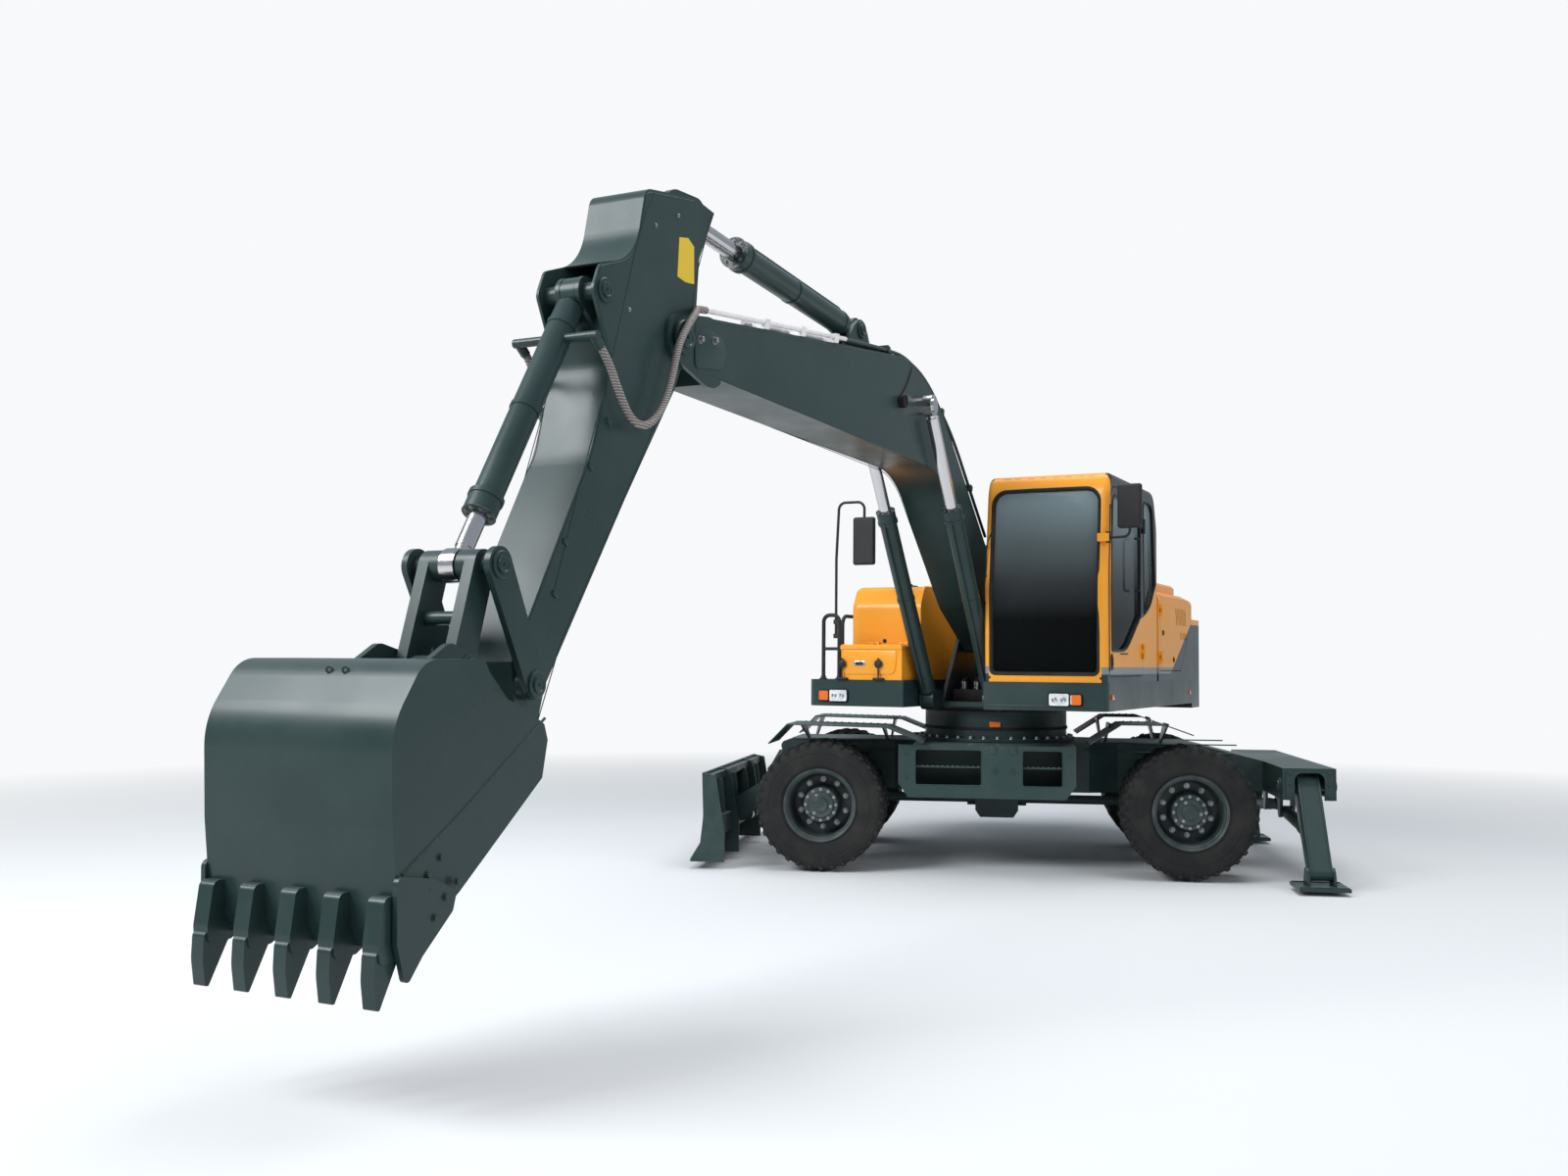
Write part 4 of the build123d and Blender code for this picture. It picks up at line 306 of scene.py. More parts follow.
def mottled(name, colour, second, gloss, grain=1.6, peel=0.05, coat=0.08, dust=0.0):
    """A finish of two shades in soft clouds, with a fine skin and dust on top faces."""
    finish, tree, shader, place = finish_of(name)
    shader.inputs["Coat Weight"].default_value = coat
    shader.inputs["Coat Roughness"].default_value = gloss * 0.6
    shader.inputs["Specular IOR Level"].default_value = 0.28
    clouds = node_of(tree, "ShaderNodeTexNoise", Scale=grain, Detail=5.0, Roughness=0.62)
    tree.links.new(place.outputs["Object"], clouds.inputs["Vector"])
    spread = node_of(tree, "ShaderNodeMapRange", From_Min=0.42, From_Max=0.72)
    tree.links.new(clouds.outputs["Fac"], spread.inputs["Value"])
    mix = node_of(tree, "ShaderNodeMix", data_type="RGBA")
    mix.name = "shades"
    mix.inputs["A"].default_value = (*colour, 1)
    mix.inputs["B"].default_value = (*second, 1)
    tree.links.new(spread.outputs["Result"], mix.inputs["Factor"])
    result = mix
    if dust:
        split = node_of(tree, "ShaderNodeSeparateXYZ")
        tree.links.new(place.outputs["Normal"], split.inputs["Vector"])
        facing = node_of(tree, "ShaderNodeMapRange", From_Min=0.25, From_Max=1.0, To_Max=dust)
        tree.links.new(split.outputs["Z"], facing.inputs["Value"])
        result = node_of(tree, "ShaderNodeMix", data_type="RGBA")
        result.inputs["B"].default_value = (0.27, 0.31, 0.31, 1)
        tree.links.new(mix.outputs["Result"], result.inputs["A"])
        tree.links.new(facing.outputs["Result"], result.inputs["Factor"])
    tree.links.new(result.outputs["Result"], shader.inputs["Base Color"])
    rough = node_of(tree, "ShaderNodeMapRange", From_Min=0.3, From_Max=0.7,
                    To_Min=gloss - 0.04, To_Max=gloss + 0.14)
    tree.links.new(clouds.outputs["Fac"], rough.inputs["Value"])
    tree.links.new(rough.outputs["Result"], shader.inputs["Roughness"])
    skin = node_of(tree, "ShaderNodeTexNoise", Scale=170.0, Detail=2.0)
    tree.links.new(place.outputs["Object"], skin.inputs["Vector"])
    bump = node_of(tree, "ShaderNodeBump", Strength=peel, Distance=0.002)
    tree.links.new(skin.outputs["Fac"], bump.inputs["Height"])
    tree.links.new(bump.outputs["Normal"], shader.inputs["Normal"])
    return finish


rubber = mottled("tyre_rubber", (0.012, 0.012, 0.012), (0.030, 0.028, 0.026), 0.66, 5.0, 0.25, 0.0)
carcass = spun("carcass", CARCASS + [(-y, r) for y, r in reversed(CARCASS[:-1])], 96)
bpy.ops.object.select_all(action="DESELECT")
bpy.ops.mesh.primitive_cube_add(size=1, location=(0, 0.075, TYRE_RADIUS - 0.014))
lug = bpy.context.object
lug.scale = (0.052, 0.112, 0.034)
bpy.ops.object.transform_apply(location=True, rotation=True, scale=True)
for face in lug.data.polygons:
    face.select = face.normal.y > 0.9
bpy.ops.object.mode_set(mode="EDIT")
bpy.ops.mesh.select_mode(type="FACE")
bpy.ops.transform.translate(value=(0, 0, -0.020))
bpy.ops.mesh.extrude_region_move(TRANSFORM_OT_translate={"value": (0, 0.002, -0.030)})
bpy.ops.transform.resize(value=(0.8, 1, 0.7))
bpy.ops.object.mode_set(mode="OBJECT")
for face in lug.data.polygons:
    face.select = face.normal.y < -0.9
bpy.ops.object.mode_set(mode="EDIT")
bpy.ops.transform.translate(value=(0.012, 0, 0))
bpy.ops.transform.resize(value=(0.7, 1, 1))
bpy.ops.object.mode_set(mode="OBJECT")
rounded(lug, 0.004, 1)
lugs = []
for i in range(LUG_COUNT):
    for half in (0, 1):
        turn = Matrix.Rotation(tau * (i + half / 2) / LUG_COUNT, 4, "Y")
        lugs.append(copied(lug, f"lug_{i}_{half}", turn @ Matrix.Rotation(pi * half, 4, "Z")))
bpy.data.objects.remove(lug)
tyre = joined("tyre", carcass, *lugs)
coated(tyre, rubber)
for end, x in AXLES.items():
    for side, sign in (("left", 1), ("right", -1)):
        pair = []
        for i, y in enumerate(TYRE_MIDDLES):
            place = CHASSIS_TURN @ Matrix.Translation((x, sign * y, AXLE_HEIGHT))
            pair.append(copied(tyre, f"tyre_{i}", place @ Matrix.Rotation(0.7 * i, 4, "Y")))
        pair = joined(f"tyre_pair_{end}_{side}", *pair)
        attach(pair, f"wheels_{end}_{side}")
        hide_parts(f"tyres_{end}_{side}")
bpy.data.objects.remove(tyre)

# ---- Rims and hubs ----
# Two pressed steel rims on one hub with a planetary cover.  The section with
# its bead seats and lock ring is spun, then wheel nuts and cover bolts are set.
# columns: distance from the machine's middle, radius
RIM_ROWS = [
    (1.190, 0.0), (1.190, 0.052), (1.186, 0.058), (1.177, 0.060), (1.175, 0.066), (1.175, 0.098),
    (1.169, 0.105), (1.164, 0.107), (1.162, 0.112), (1.162, 0.130), (1.156, 0.137),
    (1.090, 0.141), (1.066, 0.146), (1.060, 0.150), (1.046, 0.150), (1.042, 0.146),
    (0.985, 0.149), (0.981, 0.156), (0.979, 0.205), (0.984, 0.222), (0.996, 0.234),
    (1.014, 0.243), (1.060, 0.247), (1.195, 0.249), (1.203, 0.253), (1.209, 0.262), (1.216, 0.266),
    (1.222, 0.264), (1.228, 0.266), (1.233, 0.274), (1.238, 0.281), (1.237, 0.287),
    (1.230, 0.290), (1.224, 0.286), (1.222, 0.278), (1.222, 0.262), (0.998, 0.262),
    (0.998, 0.280), (0.995, 0.286), (0.988, 0.288), (0.984, 0.283), (0.982, 0.262), (0.977, 0.255),
    (0.933, 0.255), (0.928, 0.262), (0.926, 0.283), (0.922, 0.288), (0.914, 0.286),
    (0.912, 0.262), (0.688, 0.262), (0.688, 0.282), (0.684, 0.287), (0.676, 0.286),
    (0.672, 0.278), (0.672, 0.247), (0.941, 0.247), (0.941, 0.150), (0.850, 0.150),
    (0.850, 0.0705), (1.070, 0.0705), (1.070, 0.0),
]


def hex_bolt(name, radius, height):
    """A hexagon head on its washer, standing out along +Y."""
    washer = spun("washer", [(0, 0), (0, radius * 1.45), (0.003, radius * 1.4), (0.003, 0)], 14)
    head = spun(name, [(0.001, 0), (0.001, radius), (height - 0.002, radius),
                       (height, radius * 0.82), (height, 0)], 6, 20)
    return joined(name, head, washer)


def scattered(name, pattern, places, way=(0, 1, 0), frame=Matrix()):
    """Copies of one piece at several places, its +Y end turned to face way."""
    turn = Vector((0, 1, 0)).rotation_difference(Vector(way)).to_matrix().to_4x4()
    copies = [copied(pattern, f"{name}_{i}", frame @ Matrix.Translation(p) @ turn)
              for i, p in enumerate(places)]
    return joined(name, *copies)


def circle(count, radius, y, start=0.0):
    """Places on a circle about the Y axis."""
    return [(radius * sin(start + tau * i / count), y, radius * cos(start + tau * i / count))
            for i in range(count)]


rim_paint = mottled("rim_paint", (0.030, 0.045, 0.045), (0.075, 0.085, 0.083), 0.42, 7.0, 0.1)
bright_steel = mottled("zinc_plate", (0.42, 0.42, 0.43), (0.24, 0.24, 0.24), 0.34, 30.0, 0.1, 0.0)
bright_steel.node_tree.nodes["Principled BSDF"].inputs["Metallic"].default_value = 0.9
small_bolt = coated(hex_bolt("small_bolt", 0.009, 0.009), bright_steel)
large_bolt = coated(hex_bolt("large_bolt", 0.016, 0.022), bright_steel)
dark_bolt = coated(hex_bolt("dark_bolt", 0.012, 0.012), rubber)
hub = coated(spun("hub", RIM_ROWS, 72, 28), rim_paint)
nuts = scattered("nuts", large_bolt, circle(10, 0.190, 0.980))
cover_bolts = scattered("cover_bolts", small_bolt, circle(12, 0.121, 1.162))
plugs = scattered("plugs", small_bolt, circle(3, 0.082, 1.175, 0.4))
hub = joined("hub", hub, nuts, cover_bolts, plugs)
for end, x in AXLES.items():
    for side, half_turn in (("left", 0), ("right", pi)):
        place = CHASSIS_TURN @ Matrix.Translation((x, 0, AXLE_HEIGHT))
        wheel = copied(hub, f"rim_pair_{end}_{side}", place @ Matrix.Rotation(half_turn, 4, "Z"))
        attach(wheel, f"wheels_{end}_{side}")
        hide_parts(f"rims_{end}_{side}")
bpy.data.objects.remove(hub)
# ---- Chassis frame, axles and slewing ring ----
# Welded plate box in dark blue-green enamel with cast axles below it and the
# slewing ring bolted on top.  Adds the ring's bolts, welds and grease points.
STEEL_GREEN = (0.018, 0.038, 0.037)
STEEL_GREEN_DUSTY = (0.029, 0.053, 0.051)
RING_FLANGE_Z = 1.035


def paint_nodes(paint, *names):
    """Give carried-over pieces their finish."""
    for name in names:
        mesh = nodes[name].data
        mesh.materials.clear()
        mesh.materials.append(paint)


def piped(name, points, width, order=3, steps=8):
    """A bent pipe: a smooth line through the control points, with a round section."""
    data = bpy.data.curves.new(name, "CURVE")
    data.dimensions = "3D"
    spline = data.splines.new("NURBS")
    spline.points.add(len(points) - 1)
    for point, place in zip(spline.points, points):
        point.co = (*place, 1)
    spline.order_u = order
    spline.use_endpoint_u = True
    spline.resolution_u = steps
    data.bevel_depth = width / 2
    data.bevel_resolution = 2
    data.use_fill_caps = True
    pipe = bpy.data.objects.new(name, data)
    bpy.context.scene.collection.objects.link(pipe)
    only(pipe)
    bpy.ops.object.convert(target="MESH")
    bpy.ops.object.shade_smooth_by_angle(angle=radians(50))
    return bpy.context.object


def bead(name, points, width=0.009):
    """A weld bead, half sunk in its seam, straight from point to point."""
    return piped(name, points, width, 2, 1)


def plate(name, points, y0, y1, edge=0.002, frame=Matrix()):
    """A plate cut to an outline of (x, z) points, as thick as from y0 to y1."""
    traced(name, [(x, y0, z) for x, z in points])
    bpy.ops.mesh.edge_face_add()
    bpy.ops.mesh.extrude_region_move(TRANSFORM_OT_translate={"value": (0, y1 - y0, 0)})
    bpy.ops.mesh.select_all(action="SELECT")
    bpy.ops.mesh.normals_make_consistent(inside=False)
    bpy.ops.object.mode_set(mode="OBJECT")
    piece = bpy.context.object
    if edge:
        rounded(piece, edge, 2)
    return placed(piece, frame)


def softened(rows, steps=6):
    """An outline with its (u, v, radius) corners rounded; rows of two stay sharp."""
    points = []
    for i, row in enumerate(rows):
        corner = Vector(row[:2])
        if len(row) == 2:
            points.append(tuple(corner))
            continue
        back = (Vector(rows[i - 1][:2]) - corner).normalized()
        ahead = (Vector(rows[(i + 1) % len(rows)][:2]) - corner).normalized()
        half = back.angle(ahead) / 2
        centre = corner + (back + ahead).normalized() * row[2] / sin(half)
        start = corner + back * row[2] / tan(half) - centre
        end = corner + ahead * row[2] / tan(half) - centre
        sweep = start.angle_signed(end)
        for k in range(steps + 1):
            a = -sweep * k / steps
            points.append((centre.x + start.x * cos(a) - start.y * sin(a),
                           centre.y + start.x * sin(a) + start.y * cos(a)))
    return points


def rectangle(u0, u1, v0, v1, radius, steps=6):
    """A closed rectangle with rounded corners."""
    return softened([(u0, v0, radius), (u1, v0, radius), (u1, v1, radius), (u0, v1, radius)],
                    steps)


def strap(p, q, r_p, r_q, steps=10):
    """The outline of two round ends joined by straight sides."""
    p, q = Vector(p), Vector(q)
    along = q - p
    heading = atan2(along.y, along.x)
    lean = acos((r_p - r_q) / along.length)
    points = []
    for k in range(steps + 1):
        a = heading + lean + (tau - 2 * lean) * k / steps
        points.append((p.x + r_p * cos(a), p.y + r_p * sin(a)))
    for k in range(steps + 1):
        a = heading - lean + 2 * lean * k / steps
        points.append((q.x + r_q * cos(a), q.y + r_q * sin(a)))
    return points


def box(name, x, y, z, edge=0.004, frame=Matrix()):
    """A small block between two corners, given as (low, high) pairs, edges rounded."""
    bpy.ops.object.select_all(action="DESELECT")
    bpy.ops.mesh.primitive_cube_add(size=1, location=(sum(x) / 2, sum(y) / 2, sum(z) / 2))
    piece = bpy.context.object
    piece.name = name
    piece.scale = (x[1] - x[0], y[1] - y[0], z[1] - z[0])
    bpy.ops.object.transform_apply(location=True, rotation=True, scale=True)
    rounded(piece, edge, 2)
    return placed(piece, frame)


steel_enamel = mottled("steel_enamel", STEEL_GREEN, STEEL_GREEN_DUSTY, 0.30, dust=0.12)
chassis_enamel = mottled("chassis_enamel", (0.022, 0.043, 0.042), (0.042, 0.062, 0.060), 0.40,
                         3.0, dust=0.30)
paint_nodes(
    chassis_enamel, "chassis_frame", "slew_ring", "front_axle", "rear_axle", "knuckle_left",
    "knuckle_right", "tow_hitch", "blade_ram_tubes", "outrigger_ram_tube_left",
    "outrigger_ram_tube_right", "engine_block",
)
chrome, tree, shader, place = finish_of("hard_chrome")
shader.inputs["Base Color"].default_value = (0.66, 0.64, 0.65, 1)
shader.inputs["Metallic"].default_value = 1.0
film = node_of(tree, "ShaderNodeTexNoise", Scale=9.0, Detail=3.0)
tree.links.new(place.outputs["Object"], film.inputs["Vector"])
rough = node_of(tree, "ShaderNodeMapRange", From_Min=0.3, From_Max=0.7, To_Min=0.13, To_Max=0.24)
tree.links.new(film.outputs["Fac"], rough.inputs["Value"])
tree.links.new(rough.outputs["Result"], shader.inputs["Roughness"])
paint_nodes(chrome, "boom_ram_rods", "arm_ram_rod", "bucket_ram_rod", "blade_ram_rods",
            "outrigger_ram_rod_left", "outrigger_ram_rod_right")

ring_bolts = scattered("slew_ring_bolts", large_bolt,
                       [(x, -z, RING_FLANGE_Z) for x, _, z in circle(36, 0.640, 0)], (0, 0, 1))
fitted(ring_bolts, "undercarriage", bright_steel)
grease_band = spun("ring_seal", [(0, 0.600), (0, 0.607), (0.012, 0.609), (0.024, 0.607),
                                 (0.024, 0.600), (0, 0.600)], 96)
placed(grease_band, Matrix.Translation((0, 0, 1.255)) @ Matrix.Rotation(pi / 2, 4, "X"))
second_band = copied(grease_band, "ring_seal_low", Matrix.Translation((0, 0, -0.150)))
fitted(joined("ring_seals", grease_band, second_band), "undercarriage", rubber)

# axle housings: cover bolts on the bulbs, brake drums' flanges and a drain plug
axle_trim = []
for x in AXLES.values():
    cover = scattered("cover", small_bolt, circle(10, 0.118, 0), (1 if x > 0 else -1, 0, 0),
                      Matrix.Translation((x + (0.131 if x > 0 else -0.131), 0, AXLE_HEIGHT)))
    axle_trim.append(cover)
    for y in (0.30, 0.50):
        for side in (-1, 1):
            band = spun("axle_band", [(-0.014, 0.084), (-0.014, 0.097), (0.014, 0.097),
                                      (0.014, 0.084)], 32)
            axle_trim.append(placed(band, Matrix.Translation((x, side * y, AXLE_HEIGHT))))
axle_trim = placed(joined("axle_trim", *axle_trim), CHASSIS_TURN)
fitted(axle_trim, "undercarriage", chassis_enamel)

# weld beads along the spine's top and bottom seams, and two hose pipes on its side
seams = []
for side in (-1, 1):
    line = [(-1.95, 0.372), (-1.0, 0.372), (-0.76, 0.482), (0.60, 0.482), (0.84, 0.372),
            (1.715, 0.332)]
    seams.append(bead("seam", [(x, side * y, 1.002) for x, y in line], 0.011))
    seams.append(piped("brake_pipe", [(-1.9, side * 0.384, 0.93), (-1.05, side * 0.384, 0.93),
                                      (-0.80, side * 0.50, 0.95), (-0.72, side * 0.494, 0.95)],
                       0.014))
    seams.append(piped("brake_pipe", [(0.72, side * 0.450, 0.94), (0.86, side * 0.384, 0.92),
                                      (1.2, side * 0.366, 0.90), (1.66, side * 0.348, 0.88)],
                       0.014))
fitted(placed(joined("frame_seams", *seams), CHASSIS_TURN), "undercarriage", chassis_enamel)

# ---- Side boxes and step plates ----
# Folded sheet boxes between the axles with two step openings each, and tread
# plates over the wheels.  Adds lid seams, hinges, latches and anti-slip studs.
box_paint = mottled("side_box_enamel", (0.026, 0.052, 0.050), (0.046, 0.072, 0.070), 0.34,
                    2.2, dust=0.35)
paint_nodes(box_paint, "side_boxes", "step_plates")
box_trim = []
STEP_OPENINGS = ((0.110, 0.630), (-0.520, -0.210))
for x0, x1 in STEP_OPENINGS:
    rim = rectangle(x0, x1, 0.690, 0.970, 0.018, 4)
    rim.append(rim[0])
    box_trim.append(bead("opening_edge", [(x, 1.085, z) for x, z in rim], 0.008))
box_trim.append(bead("lid_seam", [(-0.62, 1.086, 0.985), (0.76, 1.086, 0.985)], 0.006))
box_trim.append(bead("panel_seam", [(-0.06, 1.086, 0.60), (-0.06, 1.086, 0.985)], 0.006))
for x in (-0.14, 0.02):
    box_trim.append(box("box_hinge", (x - 0.028, x + 0.028), (1.084, 1.094), (0.940, 1.000)))
latch = spun("latch", [(0, 0), (0, 0.026), (0.006, 0.026), (0.008, 0.020), (0.004, 0.017),
                       (0.004, 0.008), (0.012, 0.007), (0.012, 0)], 24)
box_trim += [copied(latch, "latch_1", Matrix.Translation((-0.06 + dx, 1.084, 0.80)))
             for dx in (-0.07, 0.07)]
bpy.data.objects.remove(latch)
box_trim += [scattered("nose_bolts", small_bolt,
                       [(0.700, 1.085, 0.740), (0.700, 1.085, 0.930), (-0.585, 1.085, 0.930)])]
box_trim = joined("box_trim_left", *box_trim)
box_trim_right = copied(box_trim, "box_trim_right", Matrix.Rotation(pi, 4, "Z"))
for trim in (box_trim, box_trim_right):
    fitted(placed(trim, CHASSIS_TURN), "undercarriage", box_paint)
rung_grip = []
for x0, x1 in STEP_OPENINGS:
    count = int((x1 - x0) / 0.04)
    for side in (-1, 1):
        rung_grip += [box("grip", (x0 + 0.02 + 0.04 * i, x0 + 0.032 + 0.04 * i),
                          sorted((side * 1.005, side * 1.037)), (0.8355, 0.8405), 0.001)
                      for i in range(count)]
fitted(placed(joined("rung_grip", *rung_grip), CHASSIS_TURN), "undercarriage", bright_steel)
# studs pressed up out of the tread plates, in staggered rows
stud = spun("stud", [(0, 0), (0, 0.013), (0.0035, 0.011), (0.005, 0.007), (0.003, 0.005),
                     (0.003, 0)], 10)
studs = []
for x0, x1, top in ((0.90, 1.60, lambda x: 1.150 + 0.015 * (x - 0.85) / 0.79),
                    (-1.26, -0.99, lambda x: 1.195)):
    for side in (-1, 1):
        for i in range(int((x1 - x0) / 0.06) + 1):
            for k in range(9):
                x = x0 + 0.06 * i + 0.03 * (k % 2)
                studs.append((x, side * (0.66 + 0.065 * k), top(x)))
fitted(scattered("tread_studs", stud, studs, (0, 0, 1), CHASSIS_TURN), "undercarriage",
       box_paint)
bpy.data.objects.remove(stud)

# ---- Dozer blade ----
# A curved mouldboard on two arms, with a bolted cutting edge of hard steel.
paint_nodes(chassis_enamel, "dozer_blade")
edge_steel = mottled("worn_edge", (0.10, 0.11, 0.11), (0.20, 0.19, 0.18), 0.38, 12.0, 0.15, 0.0,
                     0.2)
cutting_edge = plate("cutting_edge", [(2.321, 0.205), (2.400, 0.075), (2.413, 0.070),
                                      (2.419, 0.073), (2.334, 0.212)], -1.222, 1.222)
edge_bolts = scattered("edge_bolts", dark_bolt,
                       [(2.375, -1.1 + 0.275 * i, 0.143) for i in range(9)], (0.84, 0, 0.54))
back_ribs = [plate("back_rib", [(2.298, 0.72), (2.215, 0.69), (2.190, 0.42), (2.296, 0.42)],
                   y - 0.008, y + 0.008) for y in (-0.90, -0.27, 0.27, 0.90)]
fitted(placed(joined("cutting_edge", cutting_edge, edge_bolts), CHASSIS_TURN), "blade",
       edge_steel)
fitted(placed(joined("blade_back_ribs", *back_ribs), CHASSIS_TURN), "blade", chassis_enamel)
pin_cap = spun("pin_cap", [(0, 0), (0, 0.060), (0.010, 0.060), (0.013, 0.056), (0.013, 0.040),
                           (0.022, 0.038), (0.024, 0.030), (0.020, 0.026), (0.020, 0.008),
                           (0.026, 0.006), (0.026, 0)], 32)
for side in (-1, 1):
    cap = scattered(f"blade_pin_{side + 1}", pin_cap, [(1.690, side * 0.410, 0.700)],
                    (0, side, 0), CHASSIS_TURN)
    fitted(cap, "undercarriage", chassis_enamel)

# ---- Outriggers ----
# A cross beam with a leg at each end: two side plates either side of a box, a
# foot pad on a pin.  Adds the mouth's frame, leg plates, pin heads and welds.
LEG_X = -2.345
LEG_PIVOT, LEG_FOOT = (1.120, 0.740), (1.560, 0.136)
paint_nodes(steel_enamel, "outrigger_beam", "outrigger_leg_left", "outrigger_leg_right",
            "outrigger_pad_left", "outrigger_pad_right")
across = Matrix.Rotation(pi / 2, 4, "Z")          # an XZ outline becomes a YZ one
mouth = softened([(LEG_X - 0.110, 0.640), (LEG_X - 0.110, 0.846, 0.060),
                  (LEG_X + 0.110, 0.846, 0.060), (LEG_X + 0.110, 0.640)])
outside = softened([(LEG_X + 0.172, 0.640), (LEG_X + 0.172, 0.872, 0.03),
                    (LEG_X - 0.172, 0.872, 0.03), (LEG_X - 0.172, 0.640)])
for side, name in ((1, "left"), (-1, "right")):
    collar = plate("mouth_frame", mouth + outside, *sorted((side * 1.229, side * 1.243)))
    frame_bolts = scattered("frame_bolts", dark_bolt,
                            [(LEG_X + dx, side * 1.243, z) for dx in (-0.142, 0.142)
                             for z in (0.670, 0.760, 0.845)], (0, side, 0))
    top_seam = bead("beam_seam", [(-2.545, side * 0.45, 0.877), (-2.545, side * 1.225, 0.877)])
    front_seam = bead("beam_seam", [(-2.145, side * 0.45, 0.877), (-2.145, side * 1.225, 0.877)])
    caps = []
    for x, way in ((-2.535, -1), (-2.155, 1)):
        caps.append(scattered("pivot_cap", pin_cap, [(x + way * 0.004, side * 1.120, 0.740)],
                              (way, 0, 0)))
    trim = joined(f"outrigger_frame_{name}", collar, frame_bolts, top_seam, front_seam, *caps)
    fitted(placed(trim, CHASSIS_TURN), "undercarriage", steel_enamel)

    leg_line = strap(LEG_PIVOT, LEG_FOOT, 0.090, 0.056)
    cheeks = []
    for x0, x1 in ((LEG_X - 0.0815, LEG_X - 0.066), (LEG_X + 0.066, LEG_X + 0.0815)):
        cheek = plate("leg_cheek", [(y, z) for y, z in leg_line], -x1, -x0, 0.002, across)
        cheeks.append(cheek)
    foot_caps = scattered("foot_caps", pin_cap, [(0, 0, 0)], (1, 0, 0),
                          Matrix.Translation((LEG_X + 0.083, *LEG_FOOT))
                          @ Matrix.Scale(0.62, 4))
    leg = joined(f"leg_cheeks_{name}", *cheeks)
    for piece in (leg, foot_caps):
        if side < 0:
            placed(piece, Matrix.Scale(-1, 4, (0, 1, 0)))
            piece.data.flip_normals()
    foot_caps.name = f"foot_pin_{name}"
    fitted(placed(leg, CHASSIS_TURN), f"leg_{name}", steel_enamel)
    fitted(placed(foot_caps, CHASSIS_TURN), f"pad_{name}", bright_steel)
    cleats = [box("cleat", (LEG_X - 0.17, LEG_X + 0.17),
                  sorted((side * (1.56 + dy), side * (1.578 + dy))), (0.0555, 0.062), 0.002)
              for dy in (-0.165, 0.145)]
    fitted(placed(joined(f"pad_cleats_{name}", *cleats), CHASSIS_TURN), f"pad_{name}",
           steel_enamel)

# ---- Turntable deck ----
# Box pods in dark enamel round the bay that the boom works in.  Adds pin caps,
# the valve block with its hose ends, skirt seams and the lamps' bezels.
paint_nodes(steel_enamel, "turntable_deck")
FOOT = Vector((0.204, 0, 1.901))
FOOT_PLATE_Y = 0.223
deck_trim = []
for side in (-1, 1):
    deck_trim.append(scattered("foot_pin", pin_cap, [(0, 0, 0)], (0, side, 0),
                               Matrix.Translation((FOOT.x, side * FOOT_PLATE_Y, FOOT.z))
                               @ Matrix.Scale(1.5, 4)))
    deck_trim.append(scattered("foot_bolts", dark_bolt, [
        (FOOT.x + 0.12 * cos(a), side * FOOT_PLATE_Y, FOOT.z + 0.12 * sin(a)) for a in (0.6, 2.5)],
        (0, side, 0)))
DECK_LEFT = 1.305
for start, end, width in (((1.331, 0.36, 1.498), (1.331, 1.20, 1.498), 0.006),
                          ((1.24, DECK_LEFT, 1.497), (-1.84, DECK_LEFT, 1.497), 0.006),
                          ((-0.42, DECK_LEFT, 1.335), (-0.42, DECK_LEFT, 1.51), 0.005),
                          ((-1.24, DECK_LEFT, 1.335), (-1.24, DECK_LEFT, 1.51), 0.005)):
    deck_trim.append(bead("skirt_seam", [start, end], width))
deck_trim.append(box("skirt_lip", (1.328, 1.334), (0.37, 1.20), (1.328, 1.338), 0.002))
fitted(joined("deck_trim", *deck_trim), "upper_structure", steel_enamel)
VALVE_Z = 1.375
block_body = box("valve_block", (0.40, 0.60), (-0.17, 0.17), (VALVE_Z - 0.035, VALVE_Z + 0.065),
                 0.008)
ends = spun("hose_end", [(0, 0), (0, 0.017), (0.012, 0.017), (0.014, 0.013), (0.026, 0.013),
                         (0.028, 0.016), (0.060, 0.016), (0.064, 0.012), (0.064, 0)], 20)
spots = [(0.45 + 0.1 * (i % 2), -0.135 + 0.054 * i, VALVE_Z + 0.065) for i in range(6)]
fitted(scattered("valve_hose_ends", ends, spots, (0, 0, 1)), "upper_structure",
       bright_steel)
lines = [block_body]
for i, (x, y, z) in enumerate(spots):
    lines.append(piped("valve_line", [(x, y, z + 0.055), (x, y, z + 0.085),
                                      (x - 0.09, y * 0.9, z + 0.10), (0.30, y * 0.8, 1.40),
                                      (0.28, y * 0.8, 1.36)], 0.020))
fitted(joined("valve_block_and_lines", *lines), "upper_structure", rubber)
bpy.data.objects.remove(ends)

# ---- Lamps and reflectors ----
# Clear head lamps in dark bezels beside amber indicators, on the deck's
# front, and small amber markers on the cab side and the slewing ring.
AMBER = (0.80, 0.16, 0.015)
DECK_MIDDLE_Y, AMBER_FROM = 0.03, 1.012        # the outermost lamp on each side is amber
# columns: face x, middle y, width, height
LAMPS = ((1.330, 0.945, 0.150, 0.090), (1.330, 1.075, 0.080, 0.075),
         (1.270, -0.905, 0.150, 0.090), (1.270, -1.035, 0.080, 0.075))
LAMP_Z = 1.385


def linked(tree, operation, first, second):
    """A maths node on two sockets or numbers; returns its output."""
    maths = tree.nodes.new("ShaderNodeMath")
    maths.operation = operation
    for socket, value in zip(maths.inputs, (first, second)):
        if isinstance(value, (int, float)):
            socket.default_value = value
        else:
            tree.links.new(value, socket)
    return maths.outputs[0]


